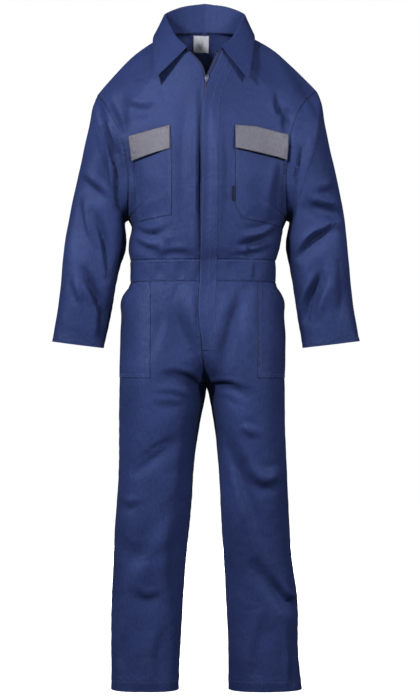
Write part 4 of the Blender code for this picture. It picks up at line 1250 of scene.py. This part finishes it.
def add_laid_pieces(folded, normals, finishes):
    made = {}
    for name, panel, finish, outline in LAID_PIECES:
        grids = [(folded[half].points, normals[half]) for half in HALVES.get(panel, (panel,))]
        points, directions, places, faces, edges, depths = cut_cloth(grids, outline, EDGE_LINES)
        kind = next(key for key in LIFTS if name.startswith(key))
        edge = depths.min(axis=0)
        lift = LIFTS[kind](points, depths)
        thick = np.full(len(points), THICKNESS[kind])
        if kind in ("chest", "pocket_flap", "hip"):
            lift = lift - 0.28 * bell((edge - 3) / 1.3) + puckers(points, np.abs(edge - 4), 8.0, 0.3)
            thick -= 0.5 * bell(edge / 0.9)
        # The piece's seam values, bell(edge / 9), set its puckers and painted groove shade right at
        # its outline
        made[name] = slab(
            name + "_cloth", points, directions, places, faces, edges, lift, thick, bell(edge / 9),
            finishes[finish])
    return made


def front_rows(folded, normals, word):
    """The rows of one side's front panels from the top down, as points and as normals."""
    rows = []
    for name in ("front_", "waistband_front_", "trouser_front_"):
        panel = folded[name + word].points
        indices = range(CENTRE_FRONT_ROWS * K, -1, -1) if name == "front_" else range(1, len(panel))
        rows += [(panel[row], normals[name + word][row]) for row in indices]
    return rows


def read_along(line, values, places):
    """The values of a row's points, read at distances from its first point."""
    along = lengths_along(line)
    inside = np.stack([np.interp(places, along, values[:, k]) for k in range(3)], axis=1)
    step = (values[1] - values[0]) / along[1]
    return inside + np.minimum(places, 0.0)[:, None] * step


def edge_strip(rows, starts, shares, width, span):
    """A strip that follows the front edge, from its start at each height over its width."""
    grid, directions = [], []
    for points, normals in rows:
        height = points[0][2]
        if span[0] < height < span[1]:
            first = np.interp(height, [row[0] for row in starts], [row[1] for row in starts])
            places = first + width * shares
            grid.append(read_along(points, points, places))
            directions.append(read_along(points, normals, places))
    directions = np.array(directions)
    directions /= np.linalg.norm(directions, axis=2)[:, :, None]
    return np.array(grid), directions


def add_fly(rows, finish):
    """The fly: a folded strip whose free edge stands a little off the other front."""
    shares = np.array(FLY_SHARES)
    points, normals = edge_strip(rows[LEFT], FLY_START, shares, FLY_WIDTH, FLY_SPAN)
    z = points[..., 2]
    band = ease((z - BAND_SEAM_Z + 4) / 5) * (1 - ease((z - WAIST_SEAM_Z) / 5 + 0.2))
    free = ease((0.35 - shares) / 0.35)[None, :]
    wave = 0.5 * np.sin(z / 27 + 0.5) + 0.35 * np.sin(z / 12.5)
    low = ease((WAIST_SEAM_Z - z) / 60)
    lift = FLY_FLAT + BAND_RISE * band + free * (1.9 + 0.45 * wave) * (1 - 0.4 * low)
    near = np.minimum(np.abs(shares - 1.0), 1) * FLY_WIDTH
    lift = lift - 0.15 * (bell((near - 3) / 1.3) + bell((near - 18) / 1.5))[None, :]
    edge = 1 - 0.7 * bell(shares * FLY_WIDTH / 0.9)
    thickness = 0.5 + np.tile(1.1 * free * edge, (len(points), 1))
    sewing = 0.9 * np.maximum(bell((near - 3) / 7), 0.8 * bell((near - 18) / 6))
    seam = np.tile(sewing, (len(points), 1))
    grid = Grid(points + normals * lift[:, :, None], normals, thickness, seam)
    return shell("fly_cloth", [grid], finish), grid


def add_tapes(rows, finishes):
    """The zip tapes behind the front edges, and their rows of teeth."""
    made = {}
    for side, word in SIDES.items():
        shares = np.linspace(0.0, 1.0, TAPE_LINES)
        points, normals = edge_strip(rows[side], TAPE_START[side], shares, TAPE_WIDTH, TAPE_SPAN)
        flat = np.ones(points.shape[:2])
        grid = Grid(points - normals * TAPE_BEHIND, normals, TAPE_THICKNESS * flat, 0.3 * flat)
        tape = shell(f"zip_tape_{word}_cloth", [grid], finishes["zip_tape"])
        shown = points[:, 0, 2] > TEETH_FROM
        edge = grid.points[shown, 0]
        out = grid.normals[shown, 0]
        into = grid.points[shown, 1] - edge
        into /= np.linalg.norm(into, axis=1)[:, None]
        teeth = add_teeth(f"zip_teeth_{word}", edge, out, into, finishes["zip_metal"])
        made[word] = (tape, teeth)
    return made


def along_line(points, others, pitch, offset):
    """A line read again every pitch millimetres, with other values along it."""
    along = lengths_along(points)
    wanted = np.arange(offset, along[-1], pitch)
    return [
        np.stack([np.interp(wanted, along, values[:, k]) for k in range(3)], axis=1)
        for values in (points, *others)
    ]


BOX_FACES = np.array([
    (0, 2, 3, 1), (4, 5, 7, 6), (0, 1, 5, 4), (2, 6, 7, 3), (0, 4, 6, 2), (1, 3, 7, 5)])
LENS_FACES = np.array([(0, 3, 2), (0, 2, 4), (0, 4, 3), (1, 2, 3), (1, 4, 2), (1, 3, 4)])


def boxes(name, middles, axes, sizes, material):
    """Small boxes, each turned by its three axes."""
    corners = np.array([(x, y, z) for z in (-0.5, 0.5) for y in (-0.5, 0.5) for x in (-0.5, 0.5)])
    scaled = corners[None] * sizes[:, None, :]
    verts = middles[:, None, :] + np.einsum("nck,nkd->ncd", scaled, axes)
    faces = (BOX_FACES[None] + 8 * np.arange(len(middles))[:, None, None]).reshape(-1, 4)
    return mesh_object(name, verts.reshape(-1, 3), faces.tolist(), None, None, material)


def add_teeth(name, edge, out, into, material):
    start = TOOTH_PITCH / 2 if "left" in name else 0.0
    points, out, into = along_line(edge, (out, into), TOOTH_PITCH, start)
    out /= np.linalg.norm(out, axis=1)[:, None]
    into -= out * (into * out).sum(axis=1)[:, None]
    into /= np.linalg.norm(into, axis=1)[:, None]
    third = np.cross(into, out)
    axes = np.stack([into, out, third], axis=1)
    sizes = np.tile(TOOTH_SIZE, (len(points), 1))
    return boxes(name, points + into * 0.5, axes, sizes, material)


# Stitches: length, pitch, where a row starts and the thread's half width; how far in the
# collar's row runs; the steps between the rays that lay rows on pieces, and where these rays
# start, in metres
STITCH = 2.6
STITCH_PITCH = 3.3
STITCH_START = 0.4
THREAD = 0.62
COLLAR_INSET = 6.0
CAST_STEP = 2.0
CAST_FROM = -0.5


def threads(name, runs, material):
    """Stitches along runs of points on the cloth, each a small lens half sunk in it."""
    verts, faces = [], []
    for points, normals in runs:
        points, normals = np.asarray(points), np.asarray(normals)
        if lengths_along(points)[-1] < 2 * STITCH_PITCH:
            continue
        starts, outs = along_line(points, (normals,), STITCH_PITCH, STITCH_START)
        ends, _ = along_line(points, (normals,), STITCH_PITCH, STITCH_START + STITCH)
        count = min(len(starts), len(ends))
        starts, outs, ends = starts[:count], outs[:count], ends[:count]
        outs /= np.linalg.norm(outs, axis=1)[:, None]
        way = ends - starts
        side = np.cross(way, outs)
        side /= np.maximum(np.linalg.norm(side, axis=1), TINY)[:, None]
        middle = (starts + ends) / 2
        ring = np.stack([
            starts - outs * 0.25,
            ends - outs * 0.25,
            middle + outs * THREAD * 0.75,
            middle + side * THREAD - outs * 0.05,
            middle - side * THREAD - outs * 0.05,
        ], axis=1)
        base = sum(len(v) for v in verts) + 5 * np.arange(count)[:, None, None]
        verts.append(ring.reshape(-1, 3))
        faces += (LENS_FACES[None] + base).reshape(-1, 3).tolist()
    return mesh_object(name, np.concatenate(verts), faces, None, None, material)


def inset_run(grid, border, inset, part):
    """A line on a grid's outer face at a set distance in from one of its borders."""
    points = grid.points + grid.normals * grid.thickness[:, :, None] / 2
    normals = grid.normals
    if border in ("first", "last"):
        points, normals = points.transpose(1, 0, 2), normals.transpose(1, 0, 2)
    if border in ("bottom", "last"):
        points, normals = points[::-1], normals[::-1]
    start, end = (int(round(v * (points.shape[1] - 1))) for v in part)
    line, outs = [], []
    for j in range(start, end + 1):
        along = lengths_along(points[:, j])
        line.append([np.interp(inset, along, points[:, j, k]) for k in range(3)])
        outs.append([np.interp(inset, along, normals[:, j, k]) for k in range(3)])
    return np.array(line), np.array(outs)


def cast_run(piece, path):
    """A path in x and z laid on the front face of a piece."""
    verts = [v.co[:] for v in piece.data.vertices]
    tree = BVHTree.FromPolygons(verts, [tuple(p.vertices) for p in piece.data.polygons])
    flat = np.array([(x, 0.0, z) for x, z in path])
    length = lengths_along(flat)
    wanted = np.arange(0.0, length[-1], CAST_STEP)
    line, outs = [], []
    for x, z in zip(np.interp(wanted, length, flat[:, 0]), np.interp(wanted, length, flat[:, 2])):
        start = Vector((x * MM, CAST_FROM, z * MM))
        hit, normal, _, _ = tree.ray_cast(start, Vector((0.0, 1.0, 0.0)))
        if hit is not None:
            line.append([v / MM for v in hit])
            outs.append(normal[:])
    return (line, outs) if len(line) > 1 else None


def inner_path(outline, edges, inset):
    """Part of an outline, moved inward by the inset: the lines of some of its edges, joined."""
    corners = np.array(outline, float)
    middle = corners.mean(axis=0)
    count = len(corners)
    lines = []
    for i in range(count):
        a, b = corners[i], corners[(i + 1) % count]
        into = np.array([-(b - a)[1], (b - a)[0]])
        into /= np.linalg.norm(into)
        if np.dot(into, middle - a) < 0:
            into = -into
        lines.append((a + into * inset, b - a))

    def meet(i, j):
        (p, u), (q, v) = lines[i % count], lines[j % count]
        t = np.linalg.solve(np.stack([u, -v], axis=1), q - p)[0]
        return tuple(p + u * t)

    return [meet(edges[0] - 1, edges[0])] + [meet(i, i + 1) for i in edges]


# Rows of sewing on panels: the border they follow, how far in they run, and their part of it
WHOLE = (0.0, 1.0)
UNDER_ARM = SIDE_ROWS / BODICE_ROWS
TO_NECK = CENTRE_FRONT_ROWS / BODICE_ROWS
DOUBLE = (2.2, 7.5)
BAND_SEWN = (("top", (3.0,), WHOLE), ("bottom", (3.0,), WHOLE))
SIDED_SEWN = {
    "front": (("last", DOUBLE, (UNDER_ARM, 1.0)), ("first", (3.0,), (0.0, TO_NECK))),
    "back": (
        ("last", DOUBLE, (UNDER_ARM, 1.0)),
        ("last", DOUBLE, (0.0, UNDER_ARM)),
        ("bottom", DOUBLE, WHOLE),
    ),
    "trouser_front": (("first", DOUBLE, (0.0, 0.26)), ("bottom", (HEM_WIDTH["trouser"],), WHOLE)),
    "trouser_back": (
        ("last", DOUBLE, WHOLE),
        ("first", DOUBLE, WHOLE),
        ("bottom", (HEM_WIDTH["trouser"],), WHOLE),
    ),
    "sleeve": (("bottom", (1.8, HEM_WIDTH["sleeve"]), WHOLE), ("last", (2.5,), WHOLE)),
    "waistband_front": BAND_SEWN,
}
COLLAR_SEWN = (("first", (0.62, 0.94)), ("bottom", (0.035, 0.965)), ("last", (0.62, 0.94)))
FLY_SEWN = (("last", (2.5, 18.0), WHOLE), ("first", (2.0,), WHOLE))
# Which edges of a laid piece are stitched, counted from its outline's first point, and how
# far in the rows of stitches run
STITCHED = (
    ("chest_pocket_left", (0, 1, 2, 3), (2, 7)),
    ("chest_pocket_right", (1, 2, 3, 4), (2, 7)),
    ("pocket_flap_left", (0, 1, 2, 3, 4), (2.2,)),
    ("pocket_flap_right", (0, 1, 2, 3), (2.2,)),
    ("hip_pocket_left", (0, 1), (2, 7.5)),
    ("hip_pocket_right", (3, 4), (2, 7.5)),
)
# Single rows inside pieces, as x, z: flap seams and slanted openings
ROWS = (
    ("pocket_flap_left", ((72.5, -253), (128, -255), (196, -273))),
    ("pocket_flap_right", ((-81.5, -253), (-176.5, -278))),
    ("hip_pocket_left", ((165, -618), (214, -700))),
    ("hip_pocket_left", ((159, -618), (208, -702))),
    ("hip_pocket_right", ((-165, -618), (-213, -694))),
    ("hip_pocket_right", ((-159, -618), (-207, -696))),
)
# Bartacks, short blocks of dense stitches: piece, x, z, length
BARTACKS = (
    ("pocket_flap_left", 78, -241, 9),
    ("pocket_flap_left", 190, -262, 9),
    ("pocket_flap_right", -87, -242, 9),
    ("pocket_flap_right", -171, -265, 9),
    ("fly", 10, -738, 16),
    ("hip_pocket_left", 166, -613, 8),
    ("hip_pocket_right", -166, -613, 8),
)
BARTACK_ROWS = (-1.5, -0.75, 0, 0.75, 1.5)


def add_bartacks(pieces, finish):
    made = {}
    for name, x, z, length in BARTACKS:
        for row in BARTACK_ROWS:
            run = cast_run(pieces[name], ((x - length / 2, z + row), (x + length / 2, z + row)))
            made.setdefault(name, []).extend([run] if run else [])
    return {name: threads(name + "_bartacks", runs, finish) for name, runs in made.items() if runs}


def sewn_runs(grid, rows):
    return [inset_run(grid, border, inset, part) for border, insets, part in rows for inset in insets]


def add_stitches(grids, pieces, fly_grid, finishes):
    """Every row of sewing: panels, hems, pockets, flaps and fly."""
    sewn = {}
    for word in SIDES.values():
        for kind, rows in SIDED_SEWN.items():
            sewn[f"{kind}_{word}"] = sewn_runs(grids[f"{kind}_{word}"], rows)
    sewn["waistband_back"] = sewn_runs(grids["waistband_back"], BAND_SEWN)
    sewn["collar"] = [collar_run(grids["collar"])]
    sewn["fly"] = sewn_runs(fly_grid, FLY_SEWN)
    sewn["back"] = sewn.pop("back_left") + sewn.pop("back_right")
    outlines = {name: outline for name, _, _, outline in LAID_PIECES}
    for name, edges, insets in STITCHED:
        runs = [cast_run(pieces[name], inner_path(outlines[name], edges, inset)) for inset in insets]
        sewn[name] = [run for run in runs if run]
    for name, path in ROWS:
        run = cast_run(pieces[name], path)
        if run:
            sewn[name].append(run)
    made = {}
    for name, runs in sewn.items():
        finish = "grey_thread" if name.startswith("pocket_flap") else "navy_thread"
        made[name] = threads(name + "_stitches", runs, finishes[finish])
    return made


def collar_run(grid):
    """The row of stitches round the collar: along a front edge, the outer edge and the other."""
    first, edge, last = (inset_run(grid, border, COLLAR_INSET, part) for border, part in COLLAR_SEWN)
    return tuple(np.concatenate([first[i], edge[i], last[i][::-1]]) for i in (0, 1))


def cloth_finishes():
    """Every material of the scene, with its deep and its lit colour."""
    fine = {"pitch": 0.0009, "rough": 0.6, "sheen": 0.02, "crush": 0.3}
    return {
        "navy_twill": twill("navy_twill", (0.0118, 0.0183, 0.066), (0.0202, 0.0312, 0.105)),
        "grey_twill": twill(
            "grey_twill", (0.076, 0.073, 0.097), (0.115, 0.112, 0.142), pitch=0.0013, sheen=0.08,
            crush=0.7, gleam=WHITE),
        "white_label": twill(
            "white_label", (0.34, 0.35, 0.4), (0.42, 0.43, 0.48), gleam=WHITE, shade=0.0, **fine),
        "woven_tab": twill("woven_tab", (0.004, 0.005, 0.012), (0.008, 0.01, 0.022), **fine),
        "zip_tape": twill(
            "zip_tape", (0.012, 0.016, 0.05), (0.022, 0.03, 0.08), pitch=0.0018, rough=0.7, sheen=0.2,
            crush=0.3),
        "zip_metal": zinc("zip_metal", (0.05, 0.052, 0.085), (0.13, 0.135, 0.2)),
        "navy_thread": thread("navy_thread", (0.014, 0.023, 0.08), (0.028, 0.043, 0.125)),
        "dark_thread": thread("dark_thread", (0.006, 0.008, 0.022), (0.012, 0.016, 0.04)),
        "grey_thread": thread("grey_thread", (0.006, 0.006, 0.011), (0.014, 0.014, 0.022)),
    }


# The photo's view: a level camera five metres in front of the chest
CAMERA_PLACE = (0.013, -5.0, -0.767)
LENS = 106.3
SENSOR_WIDTH = 36.0
FLOOR_Z = -1.63
FLOOR_HALF = 6.5
# Lights: name, place, what they aim at, size, power, and whether they give gleams
LIGHTS = (
    ("key", (-2.0, -2.2, 1.0), (0.0, 0.0, -0.8), 0.45, 185.0, True),
    ("side", (2.2, -2.2, 0.6), (0.0, 0.0, -0.8), 0.45, 90.0, True),
    ("front", (0.1, -4.2, -0.5), (0.0, 0.0, -0.85), 0.9, 38.0, True),
    ("behind", (0.0, 4.2, -0.4), (0.0, 0.0, -0.85), 0.9, 170.0, False),
)


def placed(name, data, place):
    """A new object of the scene at a place."""
    made = bpy.data.objects.new(name, data)
    made.location = place
    bpy.context.scene.collection.objects.link(made)
    return made


def add_camera():
    data = bpy.data.cameras.new("view")
    data.lens = LENS
    data.sensor_width = SENSOR_WIDTH
    made = placed("view", data, CAMERA_PLACE)
    made.rotation_euler = (math.pi / 2, 0.0, 0.0)
    bpy.context.scene.camera = made


def add_light(name, place, target, size, power, gleams):
    data = bpy.data.lights.new(name, "AREA")
    data.shape = "DISK"
    data.size = size
    data.energy = power
    made = placed(name, data, place)
    made.rotation_euler = (Vector(target) - Vector(place)).to_track_quat("-Z", "Y").to_euler()
    made.visible_glossy = gleams


def add_studio():
    """A plain pale floor and world, which light nothing themselves, and the lights."""
    paper, tree, shader = nodes_of("floor_paper")
    grain = node(tree, "ShaderNodeTexNoise", (), {"Scale": 3.0}).outputs[0]
    tone = mixed(tree, grain, (0.86, 0.86, 0.87), (0.9, 0.9, 0.9))
    tree.links.new(tone, shader.inputs["Base Color"])
    set_sockets(shader, {"Roughness": 0.9, "Emission Color": (*WHITE, 1.0), "Emission Strength": 1.0})
    verts = [(x, y, FLOOR_Z) for y in (-FLOOR_HALF, FLOOR_HALF) for x in (-FLOOR_HALF, FLOOR_HALF)]
    mesh = bpy.data.meshes.new("floor")
    mesh.from_pydata(verts, [], [(0, 1, 3, 2)])
    mesh.materials.append(paper)
    floor = placed("floor", mesh, (0.0, 0.0, 0.0))
    floor.visible_diffuse = False
    floor.visible_glossy = False
    for light in LIGHTS:
        add_light(*light)
    world = bpy.data.worlds.new("studio")
    world.use_nodes = True
    set_sockets(world.node_tree.nodes["Background"], {"Color": (*WHITE, 1.0), "Strength": 1.0})
    bpy.context.scene.world = world
    world.cycles_visibility.diffuse = False
    world.cycles_visibility.glossy = False
    bpy.context.scene.view_settings.view_transform = "Standard"


def main():
    finishes = cloth_finishes()
    add_camera()
    add_studio()
    folded = make_panels()
    normals = fold_panels(folded)
    grids = {}
    for name, panel in folded.items():
        grids[name] = finished_panel(name, panel.points, normals[name])
    pieces = {}
    for name, grid in grids.items():
        if not name.startswith("back_"):
            pieces[name] = shell(name + "_cloth", [grid], finishes["navy_twill"])
    halves = [grids[name] for name in HALVES["back"]]
    pieces["back"] = shell("back_cloth", halves, finishes["navy_twill"])
    pieces.update(add_laid_pieces(folded, normals, finishes))
    rows = {side: front_rows(folded, normals, word) for side, word in SIDES.items()}
    pieces["fly"], fly_grid = add_fly(rows, finishes["navy_twill"])
    sewn_on = {}
    for word, (tape, teeth) in add_tapes(rows, finishes).items():
        pieces["zip_tape_" + word] = tape
        sewn_on["zip_tape_" + word] = [teeth]
        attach(teeth, "garment")
    stitches = add_stitches(grids, pieces, fly_grid, finishes)
    bartacks = add_bartacks(pieces, finishes["dark_thread"])
    for name, sewing in (*stitches.items(), *bartacks.items()):
        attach(sewing, "garment")
        sewn_on.setdefault(name, []).append(sewing)
    for name in ("zip_slider", "zip_pull"):
        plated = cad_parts[name].material_slots[0]
        plated.link = "OBJECT"
        plated.material = finishes["zip_metal"]
    for name, piece in pieces.items():
        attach(piece, "garment")
        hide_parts(name)


main()
